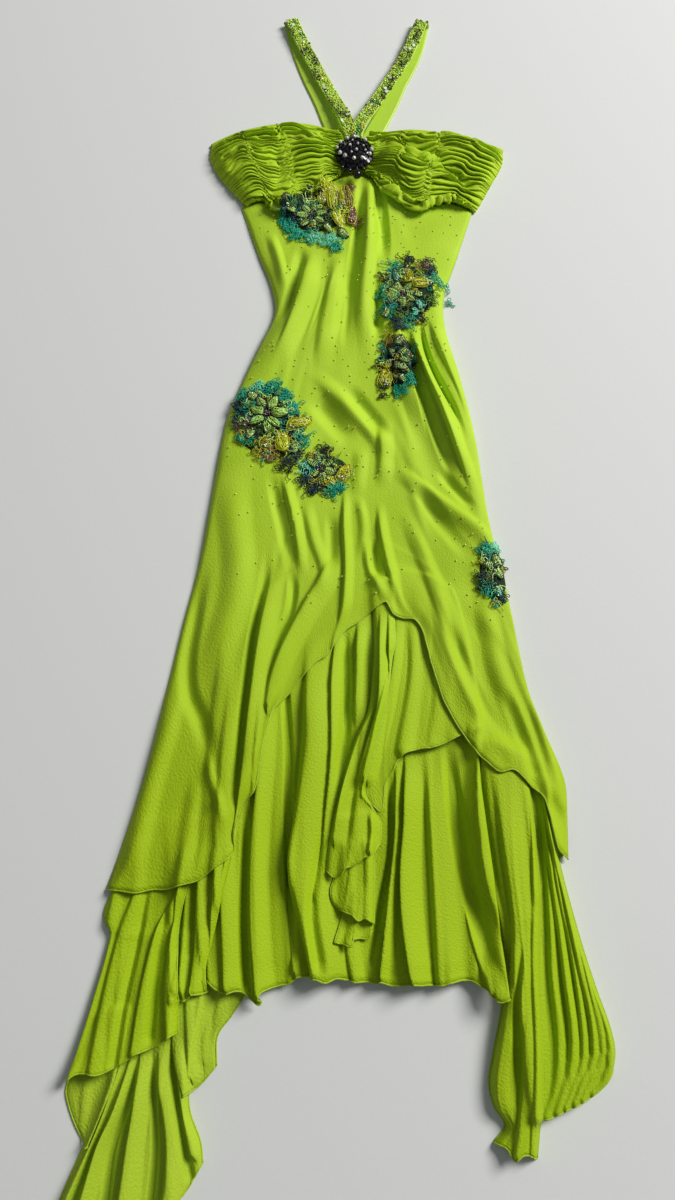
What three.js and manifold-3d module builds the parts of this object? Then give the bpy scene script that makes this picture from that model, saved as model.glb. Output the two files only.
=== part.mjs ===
// A halter-neck evening dress in lime chiffon, laid flat on its back: a ruched bandeau bust on two moulded
// cups, one long overskirt that opens over the knee into two petals, a short gathered underskirt, a middle
// petal with a waterfall cascade, and two long side trains. Two beaded straps rise from a round brooch, fold
// over at the shoulder and come down behind to the back panel. Embroidered flower patches lie on the front.
//
// Units are millimetres and +Z is up. The dress is drawn from a point on its centre line just above the
// brooch, with +Y towards the neck and +X to the right of someone who looks down at it. The last lines put
// the origin on the surface it lies on, under the middle of the whole dress.
import * as THREE from "three";
import Module from "manifold-3d";

const wasm = await Module();
wasm.setup();

// ---------------------------------------------------------------------------------------------------------
// Driving dimensions
const CLOTH = 1.6; // wall of one cloth panel, with its hem allowance
const GAP = 0.4; // between pieces that lie on each other or meet at a seam
const CELL = 2; // raster of the pile of cloth laid so far
const PILE = { left: -350, right: 300, low: -1420, high: 300 }; // the area that the pile covers
const HEM = 6; // how far in from a side the folds begin
const CUP = { wall: 2.2, dome: 21, lip: 6, pleats: 9, pleat: 2.6, across: 8 };
const STRAP = { wide: 17, thick: 2.4, foldRadius: 4.6, steps: 12, rise: 3, end: 6 };
const BROOCH = { radius: 27, base: 3, dome: 7.5, foot: 4, facets: 24, seat: 12, sunk: 2.3, y: -20 };
const PEARLS = { count: 12, radius: 3.1, inset: 5, rise: 2.5 }; // round the brooch's rim, and one on its top
const DROPS = { radius: 4, rise: 1.4, at: [[-3, 0], [4, -2], [0.5, -9]] }; // from the foot of its rim
const PATCH = { thick: 2.8, edge: 1.4, cells: 6, lobes: 5 };

const GREEN = new THREE.MeshStandardMaterial({ color: 0xa6cc2c, roughness: 0.7, metalness: 0 });
const RUCHED = new THREE.MeshStandardMaterial({ color: 0x9cc022, roughness: 0.7, metalness: 0 });
const SHEER = new THREE.MeshStandardMaterial({ color: 0xb4d248, roughness: 0.6, metalness: 0 });
const BEADED = new THREE.MeshStandardMaterial({ color: 0x8aa32a, roughness: 0.4, metalness: 0.2 });
const JET = new THREE.MeshStandardMaterial({ color: 0x17151c, roughness: 0.2, metalness: 0.3 });
const EMBROIDERY = new THREE.MeshStandardMaterial({ color: 0x1f6f66, roughness: 0.6, metalness: 0 });

// ---------------------------------------------------------------------------------------------------------
// Tables. Each row of folds is one ridge (or, with a negative height, one trough) of the cloth: the three
// points that its spine passes through, its height and half-width at its start and end, and how far it leans:
// 1 puts the steep side on the right of the spine, as seen from its start, and -1 on the left.
const FOLD_COLUMNS = "x0 y0 x1 y1 x2 y2 high0 high1 wide0 wide1 lean".split(" ");

// Each panel of cloth has four edges, drawn through a few points: left and right from the top down, top and
// hem from left to right. across and down count its facets. crown is how far it stands up between its sides,
// at even steps from its top to its hem, and shoulder how far in from a side it does so. A filled panel is a
// bundle of gathers with no hollow below.
const PANELS = [
  {
    name: "back_panel",
    material: GREEN,
    across: 6,
    down: 12,
    crown: [0],
    shoulder: 20,
    left: [[-196, 4], [-155, -91], [-112, -229], [-105, -270], [-142, -376], [-168, -511], [-196, -694],
      [-236, -881], [-270, -1034]],
    top: [[-196, 4], [-100, 12], [0, 12], [100, 12], [205, 2]],
    right: [[205, 2], [164, -100], [116, -245], [116, -292], [146, -455], [178, -681], [208, -842],
      [226, -900], [222, -962]],
    hem: [[-270, -1034], [-150, -1062], [0, -1070], [120, -1066], [222, -962]],
    folds: [],
  },
  {
    name: "train_left",
    material: SHEER,
    across: 14,
    down: 8,
    crown: [3, 2],
    shoulder: 12,
    filled: true,
    left: [[-250, -1044], [-256, -1118], [-262, -1190], [-278, -1240], [-294, -1284], [-318, -1350]],
    top: [[-250, -1044], [-206, -1040], [-164, -1044]],
    right: [[-164, -1044], [-164, -1100], [-172, -1160], [-175, -1199], [-162, -1232], [-157, -1254]],
    hem: [[-318, -1350], [-300, -1362], [-268, -1352], [-232, -1338], [-196, -1306], [-176, -1284],
      [-157, -1254]],
    folds: [
      [-236, -1130, -262, -1210, -306, -1350, 5, 9, 7, 9, 0.2],
      [-228, -1130, -246, -1210, -282, -1345, 5, 10, 7, 10, -0.4],
      [-218, -1130, -230, -1210, -256, -1335, 6, 11, 8, 13, 0.3],
      [-208, -1130, -212, -1210, -226, -1325, 6, 9, 7, 13, -0.3],
      [-194, -1125, -194, -1210, -198, -1290, 6, 8, 7, 12, 0.4],
      [-180, -1120, -180, -1200, -170, -1250, 5, 7, 6, 9, 0.2],
    ],
  },
  {
    name: "train_left_outer_flap",
    material: SHEER,
    across: 3,
    down: 5,
    crown: [1.5],
    shoulder: 14,
    left: [[-288, -1120], [-298, -1160], [-299, -1190], [-293, -1212], [-278, -1238]],
    top: [[-288, -1120], [-268, -1112], [-254, -1110]],
    right: [[-254, -1110], [-256, -1150], [-262, -1180], [-268, -1206], [-274, -1236]],
    hem: [[-278, -1238], [-276, -1240], [-274, -1236]],
    folds: [],
  },
  {
    name: "train_left_inner_flap",
    material: SHEER,
    across: 6,
    down: 5,
    crown: [1.5],
    shoulder: 14,
    left: [[-192, -1066], [-194, -1110], [-192, -1150], [-178, -1194]],
    top: [[-192, -1066], [-150, -1066], [-116, -1076]],
    right: [[-116, -1076], [-120, -1100], [-134, -1122], [-147, -1140], [-147, -1168]],
    hem: [[-178, -1194], [-164, -1186], [-147, -1168]],
    folds: [
      [-176, -1080, -172, -1120, -166, -1170, 3, 4, 8, 10, 0.5],
      [-152, -1080, -154, -1110, -154, -1150, 3, 3, 7, 8, -0.4],
    ],
  },
  {
    name: "train_right",
    material: GREEN,
    across: 16,
    down: 8,
    crown: [4],
    shoulder: 10,
    filled: true,
    left: [[134, -830], [146, -960], [160, -1080], [162, -1150], [164, -1208]],
    top: [[134, -830], [170, -846], [210, -872]],
    right: [[210, -872], [222, -950], [240, -1040], [259, -1126], [263, -1155], [252, -1182]],
    hem: [[164, -1208], [182, -1219], [203, -1209], [232, -1196], [252, -1182]],
    folds: [
      [178, -850, 182, -1000, 172, -1190, 6, 8, 6, 8, -0.3],
      [188, -855, 196, -1000, 188, -1195, 6, 9, 6, 8, 0.4],
      [196, -860, 209, -1000, 204, -1190, 6, 9, 5, 8, -0.4],
      [202, -865, 222, -1010, 222, -1180, 6, 9, 5, 8, 0.4],
      [206, -870, 233, -1030, 240, -1172, 5, 8, 5, 8, -0.3],
      [209, -880, 242, -1060, 254, -1160, 4, 7, 5, 7, 0.2],
    ],
  },
  {
    name: "train_right_flap",
    material: GREEN,
    across: 7,
    down: 12,
    crown: [3],
    shoulder: 10,
    left: [[122, -820], [131, -959], [143, -1061], [144, -1113], [138, -1153], [130, -1186], [147, -1220],
      [132, -1236]],
    top: [[122, -820], [145, -826], [168, -836]],
    right: [[168, -836], [172, -940], [176, -1060], [174, -1154], [178, -1205], [175, -1252]],
    hem: [[132, -1236], [146, -1241], [154, -1253], [162, -1247], [175, -1252]],
    folds: [
      [127, -830, 138, -960, 150, -1080, 5, 5, 5, 6, 0.4],
      [146, -840, 160, -1000, 148, -1190, 6, 8, 8, 12, -0.2],
      [166, -850, 171, -1000, 168, -1225, 5, 7, 6, 8, 0.5],
    ],
  },
  {
    name: "underskirt",
    material: GREEN,
    across: 26,
    down: 8,
    crown: [2, 3],
    shoulder: 16,
    left: [[-158, -730], [-170, -880], [-170, -1000], [-160, -1086]],
    top: [[-158, -730], [-80, -640], [20, -600], [90, -640], [140, -730]],
    right: [[140, -730], [134, -870], [144, -1000], [152, -1096]],
    hem: [[-160, -1086], [-121, -1096], [-104, -1108], [-92, -1096], [-58, -1083], [-18, -1087], [26, -1090],
      [84, -1090], [126, -1086], [152, -1096]],
    folds: [
      [-146, -760, -150, -930, -138, -1090, 3, 6, 8, 9, 0.3],
      [-110, -720, -124, -900, -108, -1100, 3, 8, 9, 12, -0.3],
      [-92, -700, -86, -850, -84, -1085, 3, 7, 8, 9, 0.7],
      [-48, -660, -46, -840, -62, -1080, 4, 9, 12, 16, 0.4],
      [-22, -640, -22, -830, -28, -1080, 3, 7, 8, 10, 0.6],
      [8, -640, 8, -860, -2, -1080, 3, 6, 8, 9, 0.2],
      [52, -640, 47, -900, 26, -1085, 3, 7, 8, 9, -0.3],
      [62, -640, 62, -900, 58, -1085, 3, 8, 8, 11, 0.5],
      [82, -650, 84, -900, 94, -1085, 3, 7, 9, 14, 0.3],
      [112, -700, 116, -930, 136, -1090, 3, 7, 7, 10, -0.5],
    ],
  },
  {
    name: "tier_left_inner",
    material: GREEN,
    across: 6,
    down: 5,
    crown: [2],
    shoulder: 10,
    left: [[-208, -930], [-202, -1000], [-196, -1060], [-192, -1106]],
    top: [[-208, -930], [-176, -926], [-140, -916]],
    right: [[-140, -916], [-145, -980], [-153, -1026], [-160, -1073], [-158, -1098]],
    hem: [[-192, -1106], [-182, -1106], [-171, -1100], [-158, -1098]],
    folds: [
      [-160, -940, -164, -1020, -170, -1095, 4, 5, 7, 8, -0.5],
      [-184, -940, -184, -1020, -186, -1095, 3, 4, 7, 7, 0.3],
    ],
  },
  {
    name: "tier_left_outer",
    material: GREEN,
    across: 11,
    down: 7,
    crown: [3],
    shoulder: 12,
    left: [[-258, -930], [-266, -1000], [-270, -1050], [-278, -1100], [-292, -1158], [-300, -1187]],
    top: [[-258, -930], [-220, -926], [-182, -920]],
    right: [[-182, -920], [-187, -993], [-194, -1045], [-192, -1073], [-190, -1112], [-187, -1135]],
    hem: [[-300, -1187], [-284, -1176], [-260, -1172], [-236, -1160], [-207, -1147], [-187, -1135]],
    folds: [
      [-246, -950, -256, -1050, -276, -1170, 3, 6, 8, 12, -0.3],
      [-222, -950, -232, -1050, -240, -1158, 3, 5, 7, 9, 0.4],
      [-204, -940, -214, -1040, -216, -1145, 4, 7, 7, 10, 0.5],
      [-190, -940, -198, -1040, -194, -1130, 3, 5, 6, 7, 0.4],
    ],
  },
  {
    name: "middle_petal",
    material: GREEN,
    across: 9,
    down: 6,
    crown: [1, 2],
    shoulder: 12,
    left: [[14, -640], [22, -720], [14, -800], [2, -860], [4, -896]],
    top: [[14, -640], [60, -636], [112, -660]],
    right: [[112, -660], [126, -720], [134, -780], [138, -828]],
    hem: [[4, -896], [24, -886], [40, -868], [52, -852], [81, -842], [110, -834], [138, -828]],
    folds: [
      [36, -670, 42, -760, 24, -870, 3, 5, 7, 9, -0.5],
      [58, -680, 66, -760, 56, -845, 2, 5, 9, 14, 0.2],
    ],
  },
  {
    name: "cascade_lower",
    material: GREEN,
    across: 5,
    down: 5,
    crown: [1.5],
    shoulder: 8,
    left: [[-20, -920], [-30, -980], [-33, -998], [-24, -1018], [-27, -1052]],
    top: [[-20, -920], [-2, -916], [16, -912]],
    right: [[16, -912], [24, -946], [15, -984], [10, -1026], [15, -1043]],
    hem: [[-27, -1052], [-10, -1057], [0, -1049], [15, -1043]],
    folds: [[2, -930, -6, -980, -8, -1040, 3, 5, 7, 9, 0.4]],
  },
  {
    name: "cascade_upper",
    material: GREEN,
    across: 5,
    down: 9,
    crown: [1, 1.5],
    shoulder: 8,
    left: [[12, -650], [14, -740], [4, -830], [-10, -892], [-22, -946], [-31, -982]],
    top: [[12, -650], [24, -646], [36, -650]],
    right: [[36, -650], [34, -740], [20, -830], [8, -896], [25, -920], [14, -958]],
    hem: [[-31, -982], [-12, -980], [14, -958]],
    folds: [
      [26, -680, 20, -790, 2, -890, 3, 5, 5, 6, -0.5],
      [8, -860, -2, -910, -16, -970, 3, 5, 6, 9, 0.2],
    ],
  },
  {
    name: "front_overskirt",
    material: GREEN,
    across: 23,
    down: 25,
    crown: [4, 11, 12, 9, 5, 3, 2],
    shoulder: 34,
    left: [[-157, -96], [-132, -174], [-112, -229], [-107, -270], [-122, -315], [-145, -376], [-160, -427],
      [-172, -511], [-185, -618], [-200, -694], [-218, -778], [-240, -881], [-272, -998]],
    top: [[-157, -96], [-135, -84], [-101, -96], [-60, -72], [-24, -46], [0, -38], [30, -50], [57, -80],
      [84, -98], [130, -86], [164, -102]],
    right: [[164, -102], [138, -184], [119, -245], [119, -292], [136, -368], [151, -455], [162, -565],
      [182, -681], [196, -778], [216, -842], [231, -885], [231, -925], [226, -965]],
    hem: [[-272, -998], [-226, -998], [-180, -986], [-132, -962], [-126, -905], [-112, -846], [-78, -782],
      [-32, -731], [6, -690], [33, -676], [70, -692], [86, -767], [118, -831], [152, -866], [196, -889],
      [214, -916], [226, -965]],
    folds: [
      [-84, -139, -90, -205, -107, -272, -9, -7, 11, 8, -0.4],
      [-27, -130, -30, -260, -36, -420, 5, 3, 26, 30, 0],
      [-6, -70, -8, -200, -12, -350, -9, -6, 12, 13, 0.2],
      [15, -44, 17, -164, 8, -427, 5, 2, 12, 16, 0],
      [29, -70, 29, -190, 30, -300, -7, -4, 12, 9, 0],
      [77, -289, 103, -373, 170, -553, 6, 4, 7, 9, 0.5],
      [78, -315, 92, -417, 130, -560, -9, -5, 12, 15, 0],
      [93, -289, 118, -373, 158, -490, -8, -5, 8, 10, 0],
      [-40, -371, -4, -400, 37, -441, 4, 3, 12, 12, 0],
      [-1, -444, 20, -462, 40, -500, 3, 3, 10, 12, 0],
      [-114, -504, -106, -560, -100, -640, 4, 4, 13, 14, 0],
      [-58, -520, -60, -580, -82, -640, 4, 6, 12, 14, 0],
      [-115, -592, -124, -720, -133, -905, -5, -9, 10, 9, -0.4],
      [-82, -622, -124, -754, -134, -930, 5, 8, 12, 12, -0.2],
      [-71, -650, -88, -722, -104, -775, -4, -6, 10, 9, 0],
      [-46, -640, -70, -720, -108, -830, 4, 7, 14, 12, 0.2],
      [-13, -580, -12, -650, -22, -715, 4, 5, 9, 8, 0.6],
      [-190, -720, -206, -830, -222, -985, 4, 6, 16, 20, 0],
      [-170, -780, -164, -880, -150, -960, -3, -6, 11, 12, 0],
      [64, -600, 66, -644, 64, -684, 4, 5, 10, 10, 0.5],
      [110, -640, 116, -730, 140, -830, -3, -5, 14, 15, 0],
      [150, -600, 164, -740, 186, -870, 4, 5, 16, 18, 0],
      [11, -525, 24, -580, 34, -660, -4, -6, 12, 11, 0],
    ],
  },
];

// The two cups, with the same four edges. Their ruching runs from the side to the brooch, on the inner edge.
const CUPS = [
  {
    name: "cup_left",
    inner: "right",
    left: [[-203, 13], [-203, -14], [-190, -46], [-160, -98]],
    top: [[-203, 13], [-162, 27], [-105, 38], [-62, 39], [-22, 26]],
    right: [[-22, 26], [-14, 2], [-14, -26], [-24, -50]],
    hem: [[-160, -98], [-138, -90], [-124, -87], [-101, -104], [-66, -80], [-24, -50]],
  },
  {
    name: "cup_right",
    inner: "left",
    left: [[26, 26], [15, 2], [15, -26], [28, -56]],
    top: [[26, 26], [80, 29], [137, 19], [179, 11], [213, 3]],
    right: [[213, 3], [208, -24], [190, -60], [168, -104]],
    hem: [[28, -56], [54, -86], [81, -106], [104, -98], [134, -92], [168, -104]],
  },
];

// Each strap: where its beaded front ends by the brooch, where it folds over, and where its plain back ends
// at the back panel's top edge.
const STRAPS = [
  { name: "strap_left", front: [-10, 48], fold: [-92, 238], back: [-10, 4], backWide: 20 },
  { name: "strap_right", front: [10.5, 48], fold: [99, 234], back: [22, 4], backWide: 24 },
];

// Embroidered patches: the middle, the half-length across and along, the turn in degrees, and how deep the
// lobes of the outline are.
const PATCH_COLUMNS = "name x y halfWide halfLong turn lobe".split(" ");
const PATCHES = [
  ["patch_bust", -52, -122, 46, 30, 0, 0.12],
  ["patch_waist_upper", 70, -248, 36, 48, -8, 0.12],
  ["patch_waist_lower", 50, -354, 24, 38, -10, 0.1],
  ["patch_hip", -110, -442, 42, 54, 28, 0.14],
  ["patch_hip_small", -40, -504, 34, 28, -20, 0.12],
  ["patch_thigh", 160, -642, 17, 40, 8, 0.1],
];

/** Rows of a table as objects with its columns' names. */
const named = (columns, table) =>
  table.map((row) => Object.fromEntries(columns.map((column, i) => [column, row[i]])));

// ---------------------------------------------------------------------------------------------------------
// Small maths
const clamp = (value, low, high) => Math.min(high, Math.max(low, value));
const mix = (a, b, share) => a + (b - a) * share;
const smooth = (share) => share * share * (3 - 2 * share);

/** A smooth line in the plane through a few points, read by its share of the length. */
function line(points) {
  const knots = points.map(([x, y]) => new THREE.Vector3(x, y, 0));
  const curve = new THREE.CatmullRomCurve3(knots, false, "centripetal");
  curve.arcLengthDivisions = 240;
  return (share) => {
    const p = curve.getPointAt(clamp(share, 0, 1));
    return [p.x, p.y];
  };
}

/** The plan of a panel: a function from (share across, share down) to [x, y], drawn between its four edges. */
function plan(panel) {
  const [left, right, top, hem] = [panel.left, panel.right, panel.top, panel.hem].map(line);
  return (across, down) => {
    const [l, r, t, h] = [left(down), right(down), top(across), hem(across)];
    const corners = [top(0), top(1), hem(0), hem(1)];
    return [0, 1].map(
      (i) =>
        mix(t[i], h[i], down) +
        mix(l[i], r[i], across) -
        mix(mix(corners[0][i], corners[1][i], across), mix(corners[2][i], corners[3][i], across), down),
    );
  };
}

/** How far the folds of a table lift the cloth at (x, y). */
function foldsOf(table) {
  const samples = 16;
  const folds = named(FOLD_COLUMNS, table).map((fold) => {
    const spine = line([[fold.x0, fold.y0], [fold.x1, fold.y1], [fold.x2, fold.y2]]);
    const steps = Array.from({ length: samples + 1 }, (_, i) => spine(i / samples));
    return { ...fold, steps };
  });
  return (x, y) => folds.reduce((sum, fold) => sum + liftOf(fold, x, y), 0);
}

/** One fold's lift at (x, y): a round ridge about its spine that fades out at both ends. */
function liftOf(fold, x, y) {
  let best = { distance: Infinity };
  for (let i = 1; i < fold.steps.length; i++) {
    const [ax, ay] = fold.steps[i - 1];
    const [dx, dy] = [fold.steps[i][0] - ax, fold.steps[i][1] - ay];
    const share = clamp(((x - ax) * dx + (y - ay) * dy) / (dx * dx + dy * dy), 0, 1);
    const distance = Math.hypot(x - ax - dx * share, y - ay - dy * share);
    const side = Math.sign(dx * (y - ay) - dy * (x - ax));
    if (distance < best.distance) best = { distance, side, at: (i - 1 + share) / (fold.steps.length - 1) };
  }
  const wide = mix(fold.wide0, fold.wide1, best.at) * (1 + 0.7 * fold.lean * best.side);
  const across = clamp(best.distance / wide, 0, 1);
  const fade = smooth(clamp(best.at / 0.2, 0, 1)) * (0.35 + 0.65 * smooth(clamp((1 - best.at) / 0.12, 0, 1)));
  return mix(fold.high0, fold.high1, best.at) * (1 - across * across) ** 2 * fade;
}

// ---------------------------------------------------------------------------------------------------------
// The pile: how high the cloth laid so far reaches over each cell of the surface
class Pile {
  constructor({ left, right, low, high }) {
    this.left = left;
    this.low = low;
    this.columns = Math.ceil((right - left) / CELL);
    this.rows = Math.ceil((high - low) / CELL);
    this.height = new Float64Array(this.columns * this.rows);
  }

  column(x) {
    return clamp(Math.floor((x - this.left) / CELL), 0, this.columns - 1);
  }

  row(y) {
    return clamp(Math.floor((y - this.low) / CELL), 0, this.rows - 1);
  }

  /** The highest cloth within reach of (x, y). */
  highest(x, y, reach) {
    let top = 0;
    for (let r = this.row(y - reach); r <= this.row(y + reach); r++)
      for (let c = this.column(x - reach); c <= this.column(x + reach); c++)
        top = Math.max(top, this.height[r * this.columns + c]);
    return top;
  }

  /** Calls visit(cell, weights of the corners, slope over half a cell) for each cell that a facet touches. */
  eachCell([a, b, c], visit) {
    const area = (b[0] - a[0]) * (c[1] - a[1]) - (c[0] - a[0]) * (b[1] - a[1]);
    if (Math.abs(area) < 1e-6) return;
    const slopeX = ((b[2] - a[2]) * (c[1] - a[1]) - (c[2] - a[2]) * (b[1] - a[1])) / area;
    const slopeY = ((b[0] - a[0]) * (c[2] - a[2]) - (c[0] - a[0]) * (b[2] - a[2])) / area;
    const slope = ((Math.abs(slopeX) + Math.abs(slopeY)) * CELL) / 2;
    const sides = [[a, b], [b, c], [c, a]];
    const longest = Math.max(...sides.map(([p, q]) => Math.hypot(p[0] - q[0], p[1] - q[1])));
    const slack = (0.75 * CELL * longest) / Math.abs(area);
    const [xs, ys] = [0, 1].map((axis) => [a[axis], b[axis], c[axis]]);
    for (let r = this.row(Math.min(...ys) - CELL); r <= this.row(Math.max(...ys) + CELL); r++)
      for (let k = this.column(Math.min(...xs) - CELL); k <= this.column(Math.max(...xs) + CELL); k++) {
        const [x, y] = [this.left + (k + 0.5) * CELL, this.low + (r + 0.5) * CELL];
        const v = ((x - a[0]) * (c[1] - a[1]) - (c[0] - a[0]) * (y - a[1])) / area;
        const w = ((b[0] - a[0]) * (y - a[1]) - (x - a[0]) * (b[1] - a[1])) / area;
        if (v < -slack || w < -slack || v + w > 1 + slack) continue;
        const inside = [1 - v - w, v, w].map((weight) => clamp(weight, 0, 1));
        const total = inside[0] + inside[1] + inside[2];
        visit(r * this.columns + k, inside.map((weight) => weight / total), slope);
      }
  }

  /** Raises the pile to the top of a grid of points. */
  lay(grid) {
    for (const facet of facetsOf(grid)) {
      const top = Math.max(...facet.map((point) => point[2]));
      this.eachCell(facet, (cell, weights, slope) => {
        const z = facet.reduce((sum, point, i) => sum + point[2] * weights[i], slope);
        this.height[cell] = Math.max(this.height[cell], Math.min(top, z));
      });
    }
  }

  /** Raises the points of a grid from the pile below them until every facet between them clears it too. */
  settle(grid) {
    const points = grid.flat();
    for (const point of points) point[2] = this.highest(point[0], point[1], 0);
    const raise = new Map(points.map((point) => [point, 0]));
    for (const facet of facetsOf(grid)) {
      let short = 0;
      this.eachCell(facet, (cell, weights, slope) => {
        if (this.height[cell] === 0) return;
        const z = facet.reduce((sum, point, i) => sum + point[2] * weights[i], 0);
        short = Math.max(short, this.height[cell] + GAP + Math.min(slope, CELL / 2) - z);
      });
      for (const point of facet) raise.set(point, Math.max(raise.get(point), short));
    }
    for (const point of points) point[2] += raise.get(point);
  }
}

/** The facets between the points of a grid, two to a cell, as the walls draw them. */
function facetsOf(grid) {
  const facets = [];
  for (let j = 1; j < grid.length; j++)
    for (let i = 1; i < grid[j].length; i++)
      facets.push(
        [grid[j - 1][i - 1], grid[j][i - 1], grid[j][i]],
        [grid[j - 1][i - 1], grid[j][i], grid[j - 1][i]],
      );
  return facets;
}

const pile = new Pile(PILE);

/** A grid of [x, y] with the height at which it comes to rest on the pile. */
function settled(plan) {
  const grid = plan.map((row) => row.map(([x, y]) => [x, y, 0]));
  pile.settle(grid);
  return grid;
}

// ---------------------------------------------------------------------------------------------------------
// Solids
/** A closed wall between two grids of points, in rows from the top down and columns from left to right. */
function wall(upper, lower) {
  const [rows, columns] = [upper.length, upper[0].length];
  const positions = [...upper.flat(), ...lower.flat()].flat();
  const index = [];
  const at = (layer, j, i) => layer * rows * columns + j * columns + i;
  const quad = (a, b, c, d) => index.push(a, b, c, a, c, d);
  for (let j = 0; j < rows - 1; j++)
    for (let i = 0; i < columns - 1; i++) {
      quad(at(0, j, i), at(0, j + 1, i), at(0, j + 1, i + 1), at(0, j, i + 1));
      quad(at(1, j + 1, i + 1), at(1, j + 1, i), at(1, j, i), at(1, j, i + 1));
    }
  for (let i = 0; i < columns - 1; i++) {
    quad(at(0, 0, i), at(0, 0, i + 1), at(1, 0, i + 1), at(1, 0, i));
    quad(at(0, rows - 1, i + 1), at(0, rows - 1, i), at(1, rows - 1, i), at(1, rows - 1, i + 1));
  }
  for (let j = 0; j < rows - 1; j++) {
    quad(at(0, j + 1, 0), at(0, j, 0), at(1, j, 0), at(1, j + 1, 0));
    quad(at(0, j, columns - 1), at(0, j + 1, columns - 1), at(1, j + 1, columns - 1), at(1, j, columns - 1));
  }
  const geometry = new THREE.BufferGeometry();
  geometry.setAttribute("position", new THREE.Float32BufferAttribute(positions, 3));
  geometry.setIndex(index);
  geometry.computeVertexNormals();
  return geometry;
}

/** The plan of a panel as a grid of [x, y]. */
function gridOf(panel, across, down) {
  const at = plan(panel);
  return Array.from({ length: down + 1 }, (_, j) =>
    Array.from({ length: across + 1 }, (_, i) => at(i / across, j / down)),
  );
}

/** A closed wall whose underside is given, and whose top is thick(row, column) above it; it joins the pile. */
function layWall(name, under, thick, material) {
  const upper = under.map((row, j) => row.map(([x, y, z], i) => [x, y, z + thick(j, i)]));
  pile.lay(upper);
  return mesh(name, wall(upper, under), material);
}

/** One panel of cloth, laid on the pile. */
function layPanel(panel) {
  const { across, down, crown, shoulder } = panel;
  const under = settled(gridOf(panel, across, down));
  const folds = foldsOf(panel.folds);
  const crownAt = (share) => {
    const place = share * (crown.length - 1);
    const step = Math.min(Math.floor(place), crown.length - 2);
    return crown.length === 1 ? crown[0] : mix(crown[step], crown[step + 1], place - step);
  };
  const rise = under.map((row, j) =>
    row.map(([x, y]) => {
      const sides = [row[0], row[across]];
      const inFromSide = Math.min(...sides.map((side) => Math.hypot(x - side[0], y - side[1])));
      const round = Math.sqrt(1 - (1 - clamp(inFromSide / shoulder, 0, 1)) ** 2);
      return Math.max(0, crownAt(j / down) * round + folds(x, y) * smooth(clamp(inFromSide / HEM, 0, 1)));
    }),
  );
  if (panel.filled) return layWall(panel.name, under, (j, i) => CLOTH + rise[j][i], panel.material);
  const raised = under.map((row, j) => row.map(([x, y, z], i) => [x, y, z + rise[j][i]]));
  return layWall(panel.name, raised, () => CLOTH, panel.material);
}

/** A moulded cup under its ruched cloth: a domed wall whose pleats run from the side to the brooch. */
function layCup(cup) {
  const [across, down] = [CUP.across, 2 * CUP.pleats];
  const under = settled(gridOf(cup, across, down)).map((row, j) =>
    row.map(([x, y, z], i) => {
      const [u, v] = [cup.inner === "right" ? i / across : 1 - i / across, j / down];
      const dome = Math.sin(Math.PI * u ** 0.75) ** 0.8 * (4 * v * (1 - v)) ** 0.7;
      return [x, y, z + CUP.lip * Math.sin(Math.PI * u) * (1 - v) ** 2 + CUP.dome * dome];
    }),
  );
  return layWall(cup.name, under, (j) => CUP.wall + (j % 2 ? CUP.pleat : 0), RUCHED);
}

/** Where a stiff piece may rest at (x, y), within reach: on the surface itself, or just above the cloth. */
function restAt(x, y, reach) {
  const top = pile.highest(x, y, reach);
  return top > 0 ? top + GAP : 0;
}

/** A strap: a flat band that comes up from the back panel, folds over and goes down to the brooch. */
function layStrap(strap) {
  const middle = (from, to, share) => [mix(from[0], to[0], share), mix(from[1], to[1], share)];
  const path = [];
  const half = STRAP.thick / 2;
  for (let i = 0; i <= STRAP.steps; i++) {
    const share = i / STRAP.steps;
    const at = middle(strap.back, strap.fold, share);
    path.push({ at, z: restAt(...at, STRAP.wide) + half, wide: mix(strap.backWide, STRAP.wide, share) });
  }
  const bends = 5;
  const run = new THREE.Vector2(strap.fold[0] - strap.front[0], strap.fold[1] - strap.front[1]).normalize();
  for (let i = 1; i < bends; i++) {
    const turn = (Math.PI * i) / bends;
    const out = STRAP.foldRadius * Math.sin(turn);
    path.push({
      at: [strap.fold[0] + run.x * out, strap.fold[1] + run.y * out],
      z: half + STRAP.foldRadius * (1 - Math.cos(turn)),
      wide: STRAP.wide,
    });
  }
  for (let i = 0; i <= STRAP.steps; i++) {
    const share = i / STRAP.steps;
    const at = middle(strap.fold, strap.front, share);
    const fallen = smooth(clamp(share * 2.5, 0, 1));
    const low = STRAP.thick + GAP + STRAP.rise * Math.sin(Math.PI * share) + STRAP.end * smooth(share);
    path.push({ at, z: half + mix(2 * STRAP.foldRadius, low, fallen), wide: STRAP.wide });
  }
  const upper = [];
  const lower = [];
  path.forEach(({ at, z, wide }, i) => {
    const [before, after] = [path[Math.max(0, i - 1)], path[Math.min(path.length - 1, i + 1)]];
    const along = new THREE.Vector3(...[0, 1].map((axis) => after.at[axis] - before.at[axis]), after.z - before.z);
    along.normalize();
    const side = new THREE.Vector3(run.y, -run.x, 0).multiplyScalar(wide / 2);
    const out = new THREE.Vector3().crossVectors(side, along).normalize().multiplyScalar(half);
    const centre = new THREE.Vector3(at[0], at[1], z);
    const corner = (s, o) => centre.clone().addScaledVector(side, s).addScaledVector(out, o).toArray();
    upper.push([corner(-1, 1), corner(0, 1), corner(1, 1)]);
    lower.push([corner(-1, -1), corner(0, -1), corner(1, -1)]);
  });
  for (const rows of [upper, lower]) pile.lay(rows);
  return mesh(strap.name, wall(lower, upper), BEADED);
}

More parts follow.
